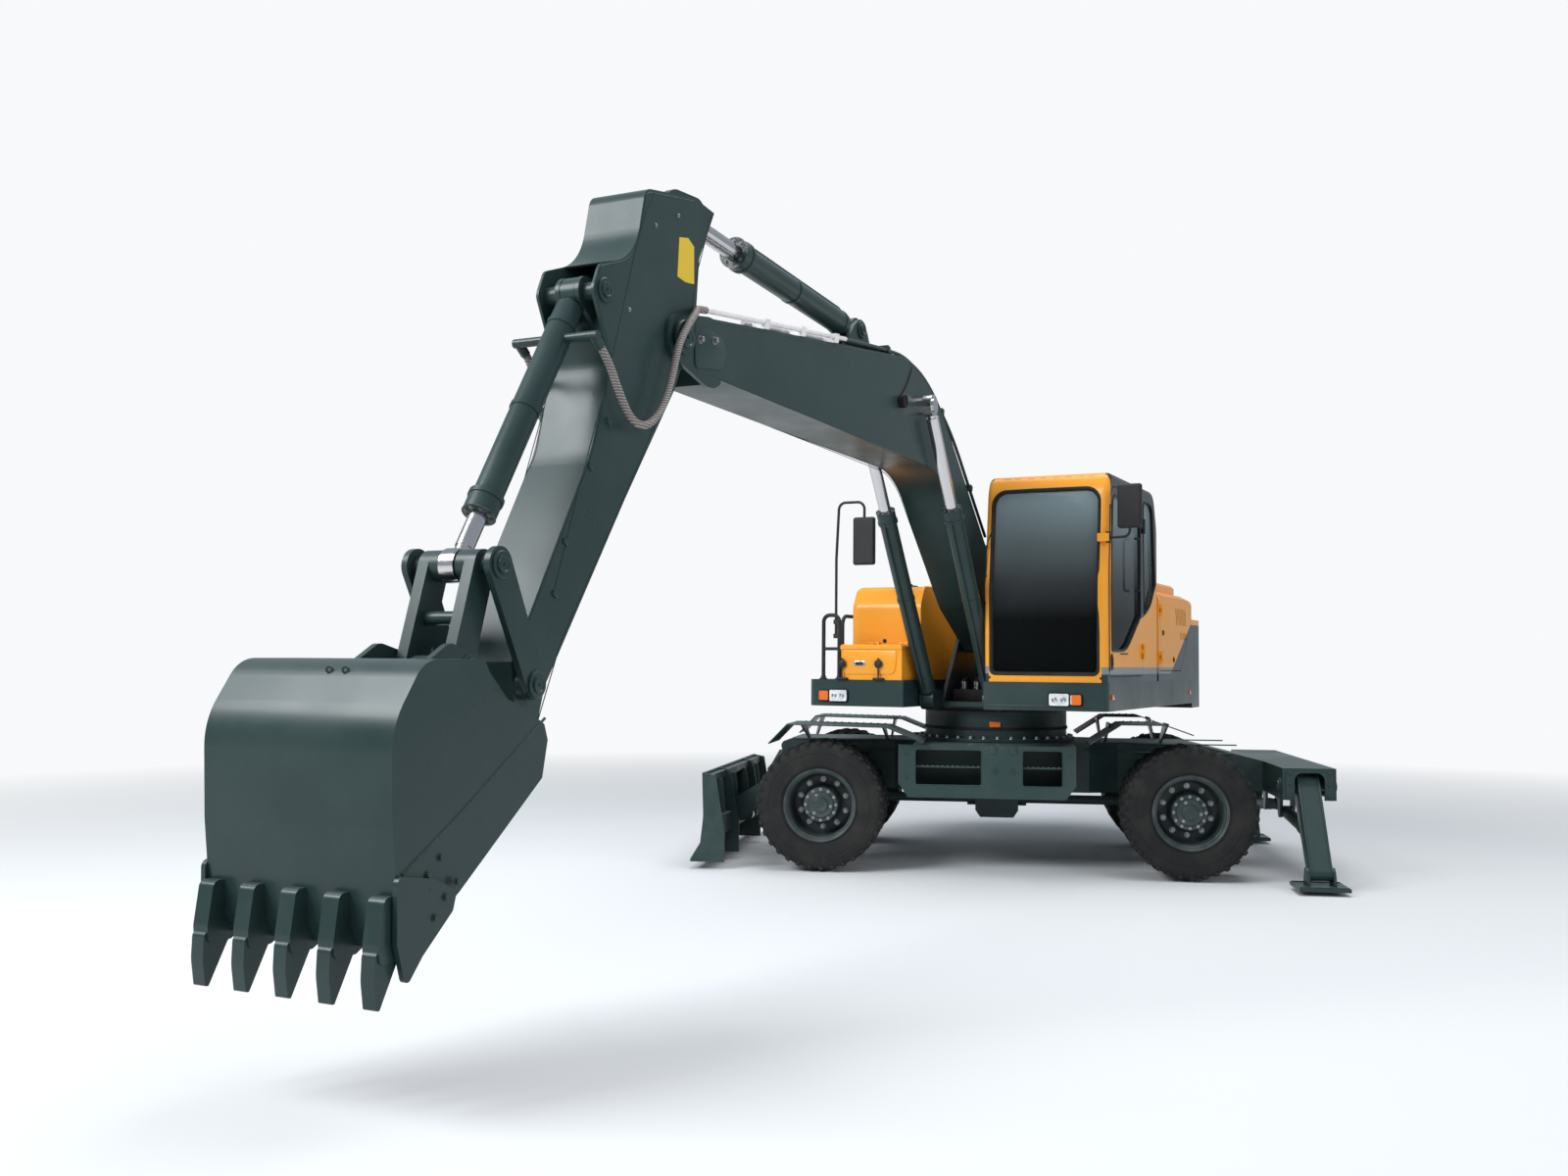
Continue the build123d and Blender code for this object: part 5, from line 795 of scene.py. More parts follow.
def over(tree, below, colour, mask):
    """Lay a colour over a colour socket where mask is 1."""
    mix = node_of(tree, "ShaderNodeMix", data_type="RGBA")
    mix.inputs["B"].default_value = (*colour, 1)
    tree.links.new(below, mix.inputs["A"])
    tree.links.new(mask, mix.inputs["Factor"])
    return mix.outputs["Result"]


def axes_of(tree):
    """The X, Y and Z sockets of a finish's place on the machine."""
    split = node_of(tree, "ShaderNodeSeparateXYZ")
    tree.links.new(node_of(tree, "ShaderNodeTexCoord").outputs["Object"], split.inputs["Vector"])
    return [split.outputs[axis] for axis in "XYZ"]


amber = mottled("amber_lens", AMBER, (0.70, 0.12, 0.01), 0.14, 40.0, 0.02, 0.6)
clear = mottled("clear_lens", (0.82, 0.84, 0.85), (0.50, 0.53, 0.55), 0.10, 22.0, 0.02, 0.6)
tree = clear.node_tree
outward = linked(tree, "ABSOLUTE", linked(tree, "SUBTRACT", axes_of(tree)[1], DECK_MIDDLE_Y), 0)
tree.links.new(over(tree, tree.nodes["shades"].outputs["Result"], AMBER,
                    linked(tree, "GREATER_THAN", outward, AMBER_FROM)),
               tree.nodes["Principled BSDF"].inputs["Base Color"])
paint_nodes(clear, "lamps")
lamp_rims, reflectors = [], []
for face, y, w, h in LAMPS:
    u, v = w / 2 + 0.004, h / 2 + 0.004
    ring = rectangle(y - u, y + u, LAMP_Z - v, LAMP_Z + v, 0.014, 4)
    lamp_rims.append(bead("bezel", [(face + 0.012, u, v) for u, v in ring + ring[:1]], 0.012))
    if w > 0.1:
        for dy in (-0.034, 0.034):
            bowl = spun("bowl", [(0, 0.022), (0.003, 0.022), (0.004, 0.018), (0.001, 0.010),
                                 (0.003, 0.005), (0.003, 0)], 20)
            turn = Matrix.Rotation(-pi / 2, 4, "Z")
            reflectors.append(placed(bowl, Matrix.Translation((face + 0.022, y + dy, LAMP_Z))
                                     @ turn))
fitted(joined("lamp_bezels", *lamp_rims), "upper_structure", rubber)
fitted(joined("lamp_bowls", *reflectors), "upper_structure", bright_steel)
markers = [box("marker", (1.13, 1.19), (1.303, 1.314), (1.385, 1.425), 0.004),
           box("marker", (-1.76, -1.70), (1.300, 1.312), (1.385, 1.425), 0.004)]
fitted(joined("side_markers", *markers), "upper_structure", amber)
ring_marker = box("ring_marker", (-0.045, 0.045), (0.596, 0.618), (1.13, 1.175), 0.004,
                  Matrix.Rotation(radians(-72), 4, "Z"))
fitted(ring_marker, "undercarriage", amber)

# ---- Cab ----
# Pressed steel cab in orange-yellow enamel, its side and pillars behind the
# door's front edge in black.  Adds seals, screws, a pillar wire and a roof hatch.
YELLOW, YELLOW_SECOND = (0.86, 0.345, 0.028), (0.80, 0.325, 0.030)
CAB_BLACK = (0.020, 0.023, 0.025)
SILL_GREY = (0.20, 0.23, 0.24)
CAB_MIDDLE_Y, CAB_SIDE_FROM = 0.8245, 0.4375
BLACK_FROM_X = 1.195
# the black field's lower edge; columns: x, z
FIELD_EDGE = [(-0.40, 2.36), (-0.30, 2.29), (-0.11, 2.13), (0.12, 2.045), (0.245, 2.020),
              (0.572, 1.833), (0.72, 1.768), (0.892, 1.750), (1.34, 1.750)]
EDGE_X, EDGE_Z = (-0.40, 1.34), (1.70, 2.50)


def livery():
    """Yellow enamel with the cab side's black field, grey sill line and dark tail."""
    finish = mottled("cab_livery", YELLOW, YELLOW_SECOND, 0.26, 0.9, 0.03, 0.12)
    tree = finish.node_tree
    x, y, z = axes_of(tree)
    side = linked(tree, "GREATER_THAN",
                  linked(tree, "ABSOLUTE", linked(tree, "SUBTRACT", y, CAB_MIDDLE_Y), 0),
                  CAB_SIDE_FROM)
    along = node_of(tree, "ShaderNodeMapRange", From_Min=EDGE_X[0], From_Max=EDGE_X[1])
    tree.links.new(x, along.inputs["Value"])
    curve = tree.nodes.new("ShaderNodeFloatCurve")
    rows = [((u - EDGE_X[0]) / (EDGE_X[1] - EDGE_X[0]), (v - EDGE_Z[0]) / (EDGE_Z[1] - EDGE_Z[0]))
            for u, v in FIELD_EDGE]
    points = curve.mapping.curves[0].points
    points[0].location, points[1].location = rows[0], rows[-1]
    for row in rows[1:-1]:
        points.new(*row)
    curve.mapping.update()
    tree.links.new(along.outputs["Result"], curve.inputs["Value"])
    edge = node_of(tree, "ShaderNodeMapRange", To_Min=EDGE_Z[0], To_Max=EDGE_Z[1])
    tree.links.new(curve.outputs["Value"], edge.inputs["Value"])
    field = linked(tree, "MULTIPLY", side, linked(tree, "GREATER_THAN", z, edge.outputs["Result"]))
    field = linked(tree, "MULTIPLY", field, linked(tree, "LESS_THAN", x, BLACK_FROM_X))
    sill = linked(tree, "MULTIPLY", side, linked(tree, "LESS_THAN", z, 1.632))
    skirt = linked(tree, "MULTIPLY", side, linked(tree, "LESS_THAN", z, 1.578))
    # the dark tail rises towards the back: z < 1.564 + 0.514 (-0.9 - x), up to 2.03
    rise = linked(tree, "MULTIPLY", linked(tree, "SUBTRACT", -0.9, x), 0.514)
    rise = linked(tree, "MINIMUM", linked(tree, "ADD", rise, 1.564), 2.03)
    tail = linked(tree, "MULTIPLY", linked(tree, "LESS_THAN", z, rise),
                  linked(tree, "LESS_THAN", x, -0.9))
    colour = tree.nodes["shades"].outputs["Result"]
    colour = over(tree, colour, CAB_BLACK, field)
    colour = over(tree, colour, SILL_GREY, sill)
    colour = over(tree, colour, STEEL_GREEN, skirt)
    colour = over(tree, colour, STEEL_GREEN, tail)
    tree.links.new(colour, tree.nodes["Principled BSDF"].inputs["Base Color"])
    return finish


cab_livery = livery()
paint_nodes(cab_livery, "cab_shell", "cab_door", "rear_bodywork", "side_door_left",
            "side_door_right", "counterweight")
black_plastic = mottled("black_plastic", (0.016, 0.017, 0.018), (0.030, 0.031, 0.032), 0.46,
                        3.0, 0.12, 0.0)


def screen_x(z):
    """How far forward the cab's front stands at a height."""
    return 1.322 + 0.0109 * (z - 1.515) if z < 2.25 else 1.330 - 0.112 * (z - 2.25)


screen = softened([(0.400, 1.575, 0.040), (1.238, 1.575, 0.040), (1.238, 2.200), (1.238, 2.600),
                   (1.238, 2.990, 0.110), (0.400, 2.990, 0.110), (0.400, 2.600), (0.400, 2.200)])
screen.append(screen[0])
seal = bead("screen_seal", [(screen_x(z) - 0.004, y, z) for y, z in screen], 0.026)
inner = bead("screen_gasket", [(screen_x(z) - 0.022, 0.8245 + (y - 0.8245) * 0.985,
                                2.2825 + (z - 2.2825) * 0.99) for y, z in screen], 0.022)
quarter = softened([(-0.30, 2.31, 0.04), (-0.11, 2.14, 0.25), (0.12, 2.055, 0.025),
                    (0.12, 2.99, 0.04), (-0.21, 2.99, 0.12)])
quarter = bead("quarter_seal", [(x, 1.301, z) for x, z in quarter + quarter[:1]], 0.016)
door_gap = bead("door_seal", [(1.2535, 1.303, 1.60), (1.262, 1.303, 2.20), (1.255, 1.303, 2.45),
                              (1.215, 1.303, 2.86)], 0.016)
roof_line = bead("roof_seal", [(1.219, 0.470, 3.020), (1.209, 0.478, 3.042),
                               (1.209, 1.175, 3.042), (1.219, 1.183, 3.020)], 0.008)
fitted(joined("cab_seals", seal, inner, quarter, door_gap, roof_line), "upper_structure",
       rubber)
screw = spun("screw", [(0, 0), (0, 0.010), (0.004, 0.008), (0.005, 0.004), (0.003, 0.003),
                       (0.003, 0)], 16)
screws = scattered("front_screws", screw,
                   [(1.3225, y, 1.548) for y in (0.392, 1.258)]
                   + [(1.237, y, 2.985) for y in (0.400, 1.250)], (1, 0, 0))
wire = piped("pillar_wire", [(1.318, 0.402, 2.66), (1.312, 0.372, 2.60), (1.306, 0.358, 2.52),
                             (1.306, 0.357, 2.12)], 0.010)
clips = [box("wire_clip", (1.302, 1.316), (0.350, 0.372), (z - 0.010, z + 0.010), 0.003)
         for z in (2.56, 2.33, 2.12)]
pillar_screws = scattered("pillar_screws", screw, [(1.312, 0.364, z) for z in (2.065, 2.03, 1.985)],
                          (0.8, -0.6, 0))
dashes = [box("roof_slot", (1.176, 1.196), (y, y + 0.055), (3.079, 3.088), 0.002)
          for y in (0.47, 0.55, 0.66, 0.75, 0.86, 0.95, 1.05, 1.13)]
clamp = box("mirror_clamp", (1.285, 1.345), (1.300, 1.338), (2.560, 2.645), 0.006)
fitted(joined("cab_small_parts", screws, wire, *clips, pillar_screws, *dashes, clamp),
       "upper_structure", black_plastic)
hatch = plate("roof_hatch", rectangle(-0.10, 0.75, 0.50, 1.15, 0.08), -0.016, 0, 0.006,
              Matrix.Translation((0, 0, 3.110)) @ Matrix.Rotation(-pi / 2, 4, "X"))
fitted(hatch, "upper_structure", black_plastic)
bpy.data.objects.remove(screw)

# ---- Cab door ----
# Hinged at its rear edge.  Black round its glass and yellow below, with a dished
# pull, a grab bar outside and a thin lever.
frame_line = softened([(1.190, 1.765, 0.045), (1.202, 2.250, 0.8), (1.145, 2.945, 0.090),
                       (0.245, 2.945, 0.060), (0.245, 2.040, 0.025), (0.720, 1.760, 0.620)])
glass_seal = bead("door_glass_seal", [(x, 1.305, z) for x, z in frame_line + frame_line[:1]], 0.016)
pull = plate("door_pull", softened([(1.150, 1.612, 0.03), (1.216, 1.612, 0.03),
                                    (1.222, 1.735, 0.03), (1.168, 1.735, 0.03)]),
             1.304, 1.3125, 0.003)
dish = plate("pull_lever", softened([(1.172, 1.640, 0.012), (1.200, 1.640, 0.012),
                                     (1.206, 1.710, 0.012), (1.180, 1.710, 0.012)]),
             1.311, 1.319, 0.003)
bar = piped("grab_bar", [(0.44, 1.306, 2.66), (0.44, 1.345, 2.66), (0.44, 1.349, 2.62),
                         (0.44, 1.349, 2.28), (0.44, 1.345, 2.24), (0.44, 1.306, 2.24)], 0.020)
lever = piped("door_lever", [(0.92, 1.308, 1.735), (0.74, 1.312, 1.737), (0.70, 1.310, 1.737)],
              0.010)
fitted(joined("door_fittings", glass_seal, pull, dish, bar, lever), "cab_door",
       black_plastic)

# ---- Glass ----
# Tinted safety glass with a painted sky reflection: its colour is near black low down and greyer
# towards the top, where the sky would be mirrored.
glass, tree, shader, place = finish_of("tinted_glass")
shader.inputs["Roughness"].default_value = 0.05
shader.inputs["Alpha"].default_value = 0.86
shader.inputs["Specular IOR Level"].default_value = 0.04
height = node_of(tree, "ShaderNodeMapRange", From_Min=1.57, From_Max=2.99)
tree.links.new(axes_of(tree)[2], height.inputs["Value"])
sky_reflection_ramp = node_of(tree, "ShaderNodeValToRGB")
# painted sky reflection, near black low and pale grey-blue high; columns: share of the glass's
# height, colour
PAINTED_SKY_REFLECTION = ((0.0, (0.004, 0.005, 0.005, 1)), (0.30, (0.006, 0.007, 0.007, 1)),
         (0.50, (0.045, 0.050, 0.052, 1)), (0.72, (0.12, 0.15, 0.155, 1)),
         (1.0, (0.25, 0.33, 0.35, 1)))
for position, colour in PAINTED_SKY_REFLECTION:
    if position in (0.0, 1.0):
        stop = sky_reflection_ramp.color_ramp.elements[-int(position)]
    else:
        stop = sky_reflection_ramp.color_ramp.elements.new(position)
    stop.color = colour
tree.links.new(height.outputs["Result"], sky_reflection_ramp.inputs["Fac"])
# the painted sky reflection goes into the glass's base colour
tree.links.new(sky_reflection_ramp.outputs["Color"], shader.inputs["Base Color"])
paint_nodes(glass, "cab_glass", "door_glass")

# ---- Operator's station ----
# Seat, consoles and steering wheel in dark plastic and cloth, seen dimly.
seat_grey = mottled("seat_cloth", (0.10, 0.11, 0.11), (0.15, 0.16, 0.16), 0.8, 26.0, 0.3, 0.0)
paint_nodes(seat_grey, "operator_station")

# ---- Rear bodywork, side doors and engine hood ----
# Folded sheet in the cab's yellow; the doors have pressed air slots.  Adds the
# slots' dark mesh, panel seams, latches, and the hood's vent and handles.
body_yellow = mottled("body_yellow", YELLOW, YELLOW_SECOND, 0.26, 0.9, 0.03, 0.12)
paint_nodes(body_yellow, "engine_hood")
# columns: first x, count, z0, z1
AIR_SLOTS = [(-1.610, 8, 2.010, 2.160), (-1.610, 5, 1.880, 1.945)]
for side, face, name in ((1, 1.300, "left"), (-1, -1.200, "right")):
    meshes = []
    for first, count, z0, z1 in AIR_SLOTS:
        for i in range(count):
            x, lean = first + 0.058 * i, (z1 - z0) * 0.3
            meshes.append(plate("slot_mesh", [(x + 0.001, z0), (x + 0.023, z0),
                                              (x + 0.023 + lean, z1), (x + 0.001 + lean, z1)],
                                *sorted((face - side * 0.0072, face - side * 0.0045)), 0))
    for x, z in ((-1.05, 1.70), (-0.62, 1.93)):
        knob = spun("latch", [(0, 0), (0, 0.024), (0.005, 0.024), (0.007, 0.019), (0.004, 0.016),
                              (0.004, 0.007), (0.011, 0.006), (0.011, 0)], 20)
        turn = 0 if side > 0 else pi
        meshes.append(placed(knob, Matrix.Translation((x, face, z))
                             @ Matrix.Rotation(turn, 4, "Z")))
    fitted(joined(f"door_slots_{name}", *meshes), f"side_door_{name}", rubber)
    seam = bead("door_fold", [(-1.76, face, 1.992), (-0.52, face, 1.992)], 0.006)
    fitted(joined(f"door_fold_{name}", seam), f"side_door_{name}", body_yellow)
body_seams = [bead("body_seam", [(-0.445, y, 1.60), (-0.445, y, 2.22)], 0.006)
              for y in (1.299, -1.199)]
fitted(joined("body_seams", *body_seams), "upper_structure", rubber)
ribs = [box("hood_rib", (-1.70 + 0.075 * i, -1.665 + 0.075 * i), (-0.55, 0.65),
            (2.389, 2.400), 0.004) for i in range(9)]
handles = [piped("hood_handle", [(-1.22, y, 2.388), (-1.22, y, 2.43), (-1.08, y, 2.43),
                                 (-1.08, y, 2.388)], 0.014) for y in (-0.85, 0.95)]
fitted(joined("hood_vent_and_handles", *ribs, *handles), "engine_hood", black_plastic)
tail_trim = [bead("tail_seam", [(-1.851, 1.30, 1.27), (-1.851, 1.30, 2.07)], 0.006),
             bead("tail_seam", [(-1.851, -1.20, 1.27), (-1.851, -1.20, 2.07)], 0.006)]
lift_eye = spun("lift_eye", [(-0.012, 0.030), (-0.012, 0.060), (0.012, 0.060), (0.012, 0.030),
                             (-0.012, 0.030)], 28)
for y in (-0.75, 0.80):
    tail_trim.append(copied(lift_eye, "lift_eye", Matrix.Translation((-2.20, y, 2.185))))
bpy.data.objects.remove(lift_eye)
fitted(joined("counterweight_trim", *tail_trim), "upper_structure", steel_enamel)

# ---- Tank housing and toolbox ----
# Yellow sheet housings on the right; the toolbox has a raised front panel with
# a bright oval latch, and two black over-centre clamps hold its lid down.
paint_nodes(body_yellow, "tank_housing", "toolbox_lid")
panel = plate("toolbox_panel", softened([(-0.868, 1.560, 0.035), (-0.415, 1.560, 0.06),
                                         (-0.400, 1.752, 0.02), (-0.872, 1.752, 0.02)]),
              -1.270, -1.2605, 0.004, across)
fold = bead("panel_fold", [(1.271, -0.862, 1.590), (1.271, -0.425, 1.590)], 0.007)
fitted(joined("toolbox_panel", panel, fold), "upper_structure", body_yellow)
oval = strap((-0.755, 1.647), (-0.693, 1.647), 0.0225, 0.0224)
latch_ring = plate("latch_ring", oval, -1.2745, -1.2695, 0.002, across)
fitted(latch_ring, "upper_structure", bright_steel)
slot_line = strap((-0.747, 1.645), (-0.701, 1.645), 0.0125, 0.0124)
black_bits = [plate("latch_slot", slot_line, -1.2755, -1.274, 0, across)]
for y in (-0.872, -0.553):
    grip = spun("clamp_knob", [(0, 0), (0, 0.030), (0.008, 0.034), (0.020, 0.034), (0.028, 0.024),
                               (0.030, 0.010), (0.030, 0)], 28)
    black_bits.append(placed(grip, Matrix.Translation((1.272, y, 1.643))
                             @ Matrix.Rotation(-pi / 2, 4, "Z")))
    black_bits.append(piped("clamp_stem", [(1.286, y, 1.690), (1.286, y, 1.600),
                                           (1.288, y, 1.530)], 0.014))
    black_bits.append(box("clamp_foot", (1.263, 1.30), (y - 0.045, y + 0.045),
                          (1.515, 1.532)))
black_bits.append(scattered("tank_bolts", dark_bolt, [(0.850, y, 1.835) for y in (-0.68, -0.44)],
                            (1, 0, 0)))
cap = spun("filler_cap", [(0, 0), (0, 0.075), (0.012, 0.078), (0.030, 0.078), (0.038, 0.068),
                          (0.040, 0.030), (0.052, 0.026), (0.052, 0)], 36)
black_bits.append(placed(cap, Matrix.Translation((0.25, -0.70, 2.288))
                         @ Matrix.Rotation(pi / 2, 4, "X")))
fitted(joined("toolbox_fittings", *black_bits), "upper_structure", black_plastic)

# ---- Handrails and mirrors ----
# Black tube rails and moulded mirror shells.  Adds the glass, clamps and feet.
paint_nodes(black_plastic, "rails_and_mirrors")
silver = mottled("mirror_silver", (0.72, 0.74, 0.75), (0.66, 0.68, 0.69), 0.04, 2.0, 0.0, 0.0)
silver.node_tree.nodes["Principled BSDF"].inputs["Metallic"].default_value = 1.0
mirror_faces = []
# columns: x, y and z of the mirror's middle, width, height
for x, y, z, w, h in ((1.294, 1.479, 2.830, 0.150, 0.300),
                      (1.214, -0.700, 2.640, 0.160, 0.350)):
    edge = rectangle(y - w / 2, y + w / 2, z - h / 2, z + h / 2, 0.03)
    mirror_faces.append(plate("mirror_face", edge, -x - 0.003, -x + 0.002, 0.001,
                              across))
fitted(joined("mirror_glass", *mirror_faces), "upper_structure", silver)
foot = spun("rail_foot", [(0, 0), (0, 0.034), (0.008, 0.034), (0.012, 0.024), (0.030, 0.019),
                          (0.030, 0.015)], 24)
feet = scattered("rail_feet", foot, [(1.225, y, 1.515) for y in (-1.066, -0.925)]
                 + [(x, -1.120, 1.515) for x in (0.730, -0.250)], (0, 0, 1))
bpy.data.objects.remove(foot)
fitted(feet, "upper_structure", black_plastic)

# ---- Boom and its pipes ----
# Box-welded boom in dark enamel.  Adds the seam beads round its side plates,
# the nose doublers, a side lamp with its wire, and pipes along its back.
paint_nodes(steel_enamel, "boom", "arm", "rocker_links", "bucket_link", "bucket",
            "boom_ram_tubes", "arm_ram_tube", "bucket_ram_tube", "bucket_teeth")
pipe_zinc = mottled("pipe_zinc", (0.78, 0.76, 0.76), (0.62, 0.60, 0.61), 0.30, 12.0, 0.05, 0.3)
paint_nodes(pipe_zinc, "boom_pipes")
BOOM_FRAME = Matrix.Translation(FOOT) @ Matrix.Rotation(radians(-14.58), 4, "Y")
TIP = Vector((5.674, 0, 3.3238))
ARM_FRAME = Matrix.Translation(TIP) @ Matrix.Rotation(radians(58.03), 4, "Y")
# columns: x, z and corner radius in the boom's own frame, about 12 mm inside the edge
BOOM_SEAM = [(0.610, 0.432), (2.398, 1.389, 1.19), (5.540, 0.166, 0.05), (5.462, -0.108, 0.05),
             (5.300, -0.046, 0.30), (1.921, 0.716, 0.70), (0.700, 0.046, 0.40), (0.03, -0.13)]
boom_trim = []
for side in (-1, 1):
    seam = softened(BOOM_SEAM, 10)
    boom_trim.append(bead("boom_seam", [(x, side * 0.190, z) for x, z in seam], 0.005))
    doubler = softened([(5.545, 0.100, 0.02), (5.414, 0.176, 0.04), (5.248, 0.192, 0.05),
                        (5.190, 0.125, 0.05), (5.215, 0.020, 0.05), (5.480, -0.090, 0.03)])
    boom_trim.append(plate("nose_doubler", doubler, *sorted((side * 0.188, side * 0.1975)), 0.002))
for side in (-1, 1):
    boom_trim.append(scattered("tip_pin", pin_cap, [(0, 0, 0)], (0, side, 0),
                               Matrix.Translation((5.652, side * 0.207, 0))
                               @ Matrix.Scale(1.5, 4)))
    boom_trim.append(scattered("ear_pin", pin_cap, [(3.307, side * 0.078, 1.218)], (0, side, 0)))
boom_trim = placed(joined("boom_trim", *boom_trim), BOOM_FRAME)
fitted(boom_trim, "boom", steel_enamel)
retainers = scattered("retainer_bolts", large_bolt,
                      [(5.475, 0.197, 0.075), (5.333, 0.197, 0.137)])
fitted(placed(retainers, BOOM_FRAME), "boom", bright_steel)
side_lamp = spun("side_lamp", [(0, 0), (0, 0.040), (0.020, 0.046), (0.048, 0.046), (0.050, 0.040),
                               (0.044, 0.036), (0.040, 0)], 28)
side_lamp = placed(side_lamp, Matrix.Translation((2.791, 0.189, 0.906)))
lamp_wire = piped("lamp_wire", [(2.791, 0.194, 0.945), (2.74, 0.194, 1.02), (2.70, 0.194, 1.08),
                                (2.655, 0.194, 1.20), (2.64, 0.188, 1.250)], 0.010)
fitted(placed(joined("boom_lamp_and_wire", side_lamp, lamp_wire), BOOM_FRAME), "boom",
       rubber)
# columns: distance along the boom, height above its foot line
PIPE_RUN = [(0.75, 0.60), (1.20, 0.835), (1.62, 1.065), (1.95, 1.18), (2.40, 1.268), (2.75, 1.262),
            (3.05, 1.165), (3.35, 1.06), (3.76, 0.905)]
runs = []
for y in (-0.187, -0.095, 0.095, 0.187):
    lift = 0.016 if abs(y) > 0.1 else 0.030
    runs.append(piped("back_pipe", [(x, y * 0.9, z + lift) for x, z in PIPE_RUN], 0.026, 3, 5))
for x, z in ((1.20, 0.845), (1.95, 1.175), (3.05, 1.165)):
    runs.append(box("pipe_clamp", (x - 0.025, x + 0.025), (-0.186, 0.186), (z, z + 0.045), 0.005))

# ---- Arm ----
# Box-welded arm in the same enamel, its side plates bordered by a pressed line.
# Adds seam beads, pin caps, wire clips, bolts and a blank yellow plate.
ARM_SEAM = [(-0.742, 0.262), (-0.412, 0.624, 0.07), (-0.060, 0.504, 0.29), (0.195, 0.704, 0.05),
            (0.330, 0.684, 0.05), (0.512, 0.384, 0.14), (1.000, 0.269, 0.60), (2.128, 0.241)]
ARM_BORDER = [(-0.470, 0.560), (-0.378, 0.574), (-0.141, 0.550), (0.147, 0.467), (0.402, 0.425),
              (0.788, 0.331), (1.209, 0.266), (1.693, 0.168)]
ARM_BACK = [(2.300, -0.056), (2.100, 0.006), (1.000, -0.054), (0.250, -0.114), (-0.200, -0.084),
            (-0.505, 0.066), (-0.820, 0.094)]
ARM_HALF = 0.165
arm_trim = []
for side in (-1, 1):
    for name, line in (("arm_seam", softened(ARM_SEAM, 8)), ("arm_border", ARM_BORDER),
                       ("arm_back_seam", ARM_BACK)):
        arm_trim.append(bead(name, [(x, side * ARM_HALF, z) for x, z in line], 0.005))
    arm_trim.append(scattered("base_pin", pin_cap, [(0.276, side * ARM_HALF, 0.622)], (0, side, 0)))
    arm_trim.append(scattered("eye_pin", pin_cap, [(-0.800, side * 0.090, 0.120)], (0, side, 0)))
for x, z in ((0.782, 0.443), (1.059, 0.325), (1.473, 0.268), (1.718, 0.205)):
    arm_trim.append(box("wire_clip", (x - 0.012, x + 0.012), (0.163, 0.173),
                        (min(z, 0.30) - 0.07, min(z, 0.30) - 0.03), 0.002))
fitted(placed(joined("arm_trim", *arm_trim), ARM_FRAME), "arm", steel_enamel)
arm_bolts = scattered("arm_bolts", small_bolt, [(x, ARM_HALF, z) for x, z in (
    (-0.336, 0.468), (-0.547, 0.340), (0.199, 0.412))])
fitted(placed(arm_bolts, ARM_FRAME), "arm", bright_steel)
yellow = mottled("plate_yellow", (0.72, 0.50, 0.03), (0.66, 0.44, 0.03), 0.35, 2.0, 0.03, 0.2)
blank = plate("blank_plate", [(-0.461, 0.271), (-0.524, 0.205), (-0.531, 0.136), (-0.364, 0.027),
                              (-0.307, 0.098), (-0.274, 0.173)], 0.1645, 0.167, 0)
fitted(placed(blank, ARM_FRAME), "arm", yellow)

# ---- Rams ----
# Honed tubes with a bolted gland at the rod's end, clamp bands and a feed pipe
# to the gland.  Dark enamel, with bare steel bolts round the gland.
PAIR_Y = 0.268
GLAND_BACK, BAND_PLACE = 0.092, 0.22


def in_boom(x, z):
    return BOOM_FRAME @ Vector((x, 0, z))


def in_arm(x, z):
    return ARM_FRAME @ Vector((x, 0, z))


ROCKER_FOOT = in_arm(2.176, 0.130)
ROCKER_TOP = ROCKER_FOOT + 0.567 * Vector((cos(radians(62.8)), 0, sin(radians(62.8))))
BOOM_RAM = (Vector((0.88, 0, 1.36)), in_boom(2.427, 1.030))
# columns: body, base, eye, side shift, tube length, tube radius, gland radius, pipe's way
# round
RAMS = [
    ("boom_tubes", *BOOM_RAM, PAIR_Y, 1.735, 0.066, 0.0726, 1),
    ("boom_tubes", *BOOM_RAM, -PAIR_Y, 1.735, 0.066, 0.0726, 1),
    ("arm_tube", in_boom(3.307, 1.218), in_arm(-0.800, 0.120), 0, 1.675, 0.078, 0.0905, -1),
    ("bucket_tube", in_arm(0.276, 0.622), ROCKER_TOP, 0, 1.339, 0.066, 0.0766, 1),
]
ram_trim = {}
for body, base, eye, shift, length, tube, gland, way in RAMS:
    along = (eye - base).normalized()
    across_y = Vector((0, 1, 0))
    third = along.cross(across_y)
    # columns: third, the ram's own way, across the machine
    turn = Matrix((third, along, across_y)).transposed().to_4x4()
    at = Matrix.Translation(base + Vector((0, shift, 0))) @ turn
    dark = []
    for place, radius in ((length - GLAND_BACK, gland), (BAND_PLACE, tube),
                          (length * 0.55, tube)):
        rows = [(-0.012, tube - 0.004), (-0.012, radius + 0.005), (0.012, radius + 0.005),
                (0.012, tube - 0.004)]
        dark.append(placed(spun("band", rows, 40), Matrix.Translation((0, place, 0))))
    rows = [(0, tube * 0.75), (0, gland + 0.0015), (0.003, gland + 0.0025), (0.003, tube * 0.75)]
    dark.append(placed(spun("gland_lip", rows, 40), Matrix.Translation((0, length - 0.003, 0))))
    out = -way * (tube + 0.020)
    dark.append(piped("feed_pipe", [(out * 0.8, 0.16, 0), (out, 0.20, 0), (out, 0.24, 0),
                                    (out, length - 0.16, 0), (out, length - 0.11, 0),
                                    (out * 0.85, length - 0.075, 0)], 0.019))
    dark = placed(joined("ram_bands", *dark), at)
    ring = scattered("gland_bolts", small_bolt,
                     [(x * 0.9, length, z * 0.9) for x, _, z in circle(8, tube * 0.97, 0)],
                     (0, 1, 0))
    ram_trim.setdefault(body, ([], []))
    ram_trim[body][0].append(dark)
    ram_trim[body][1].append(placed(ring, at))
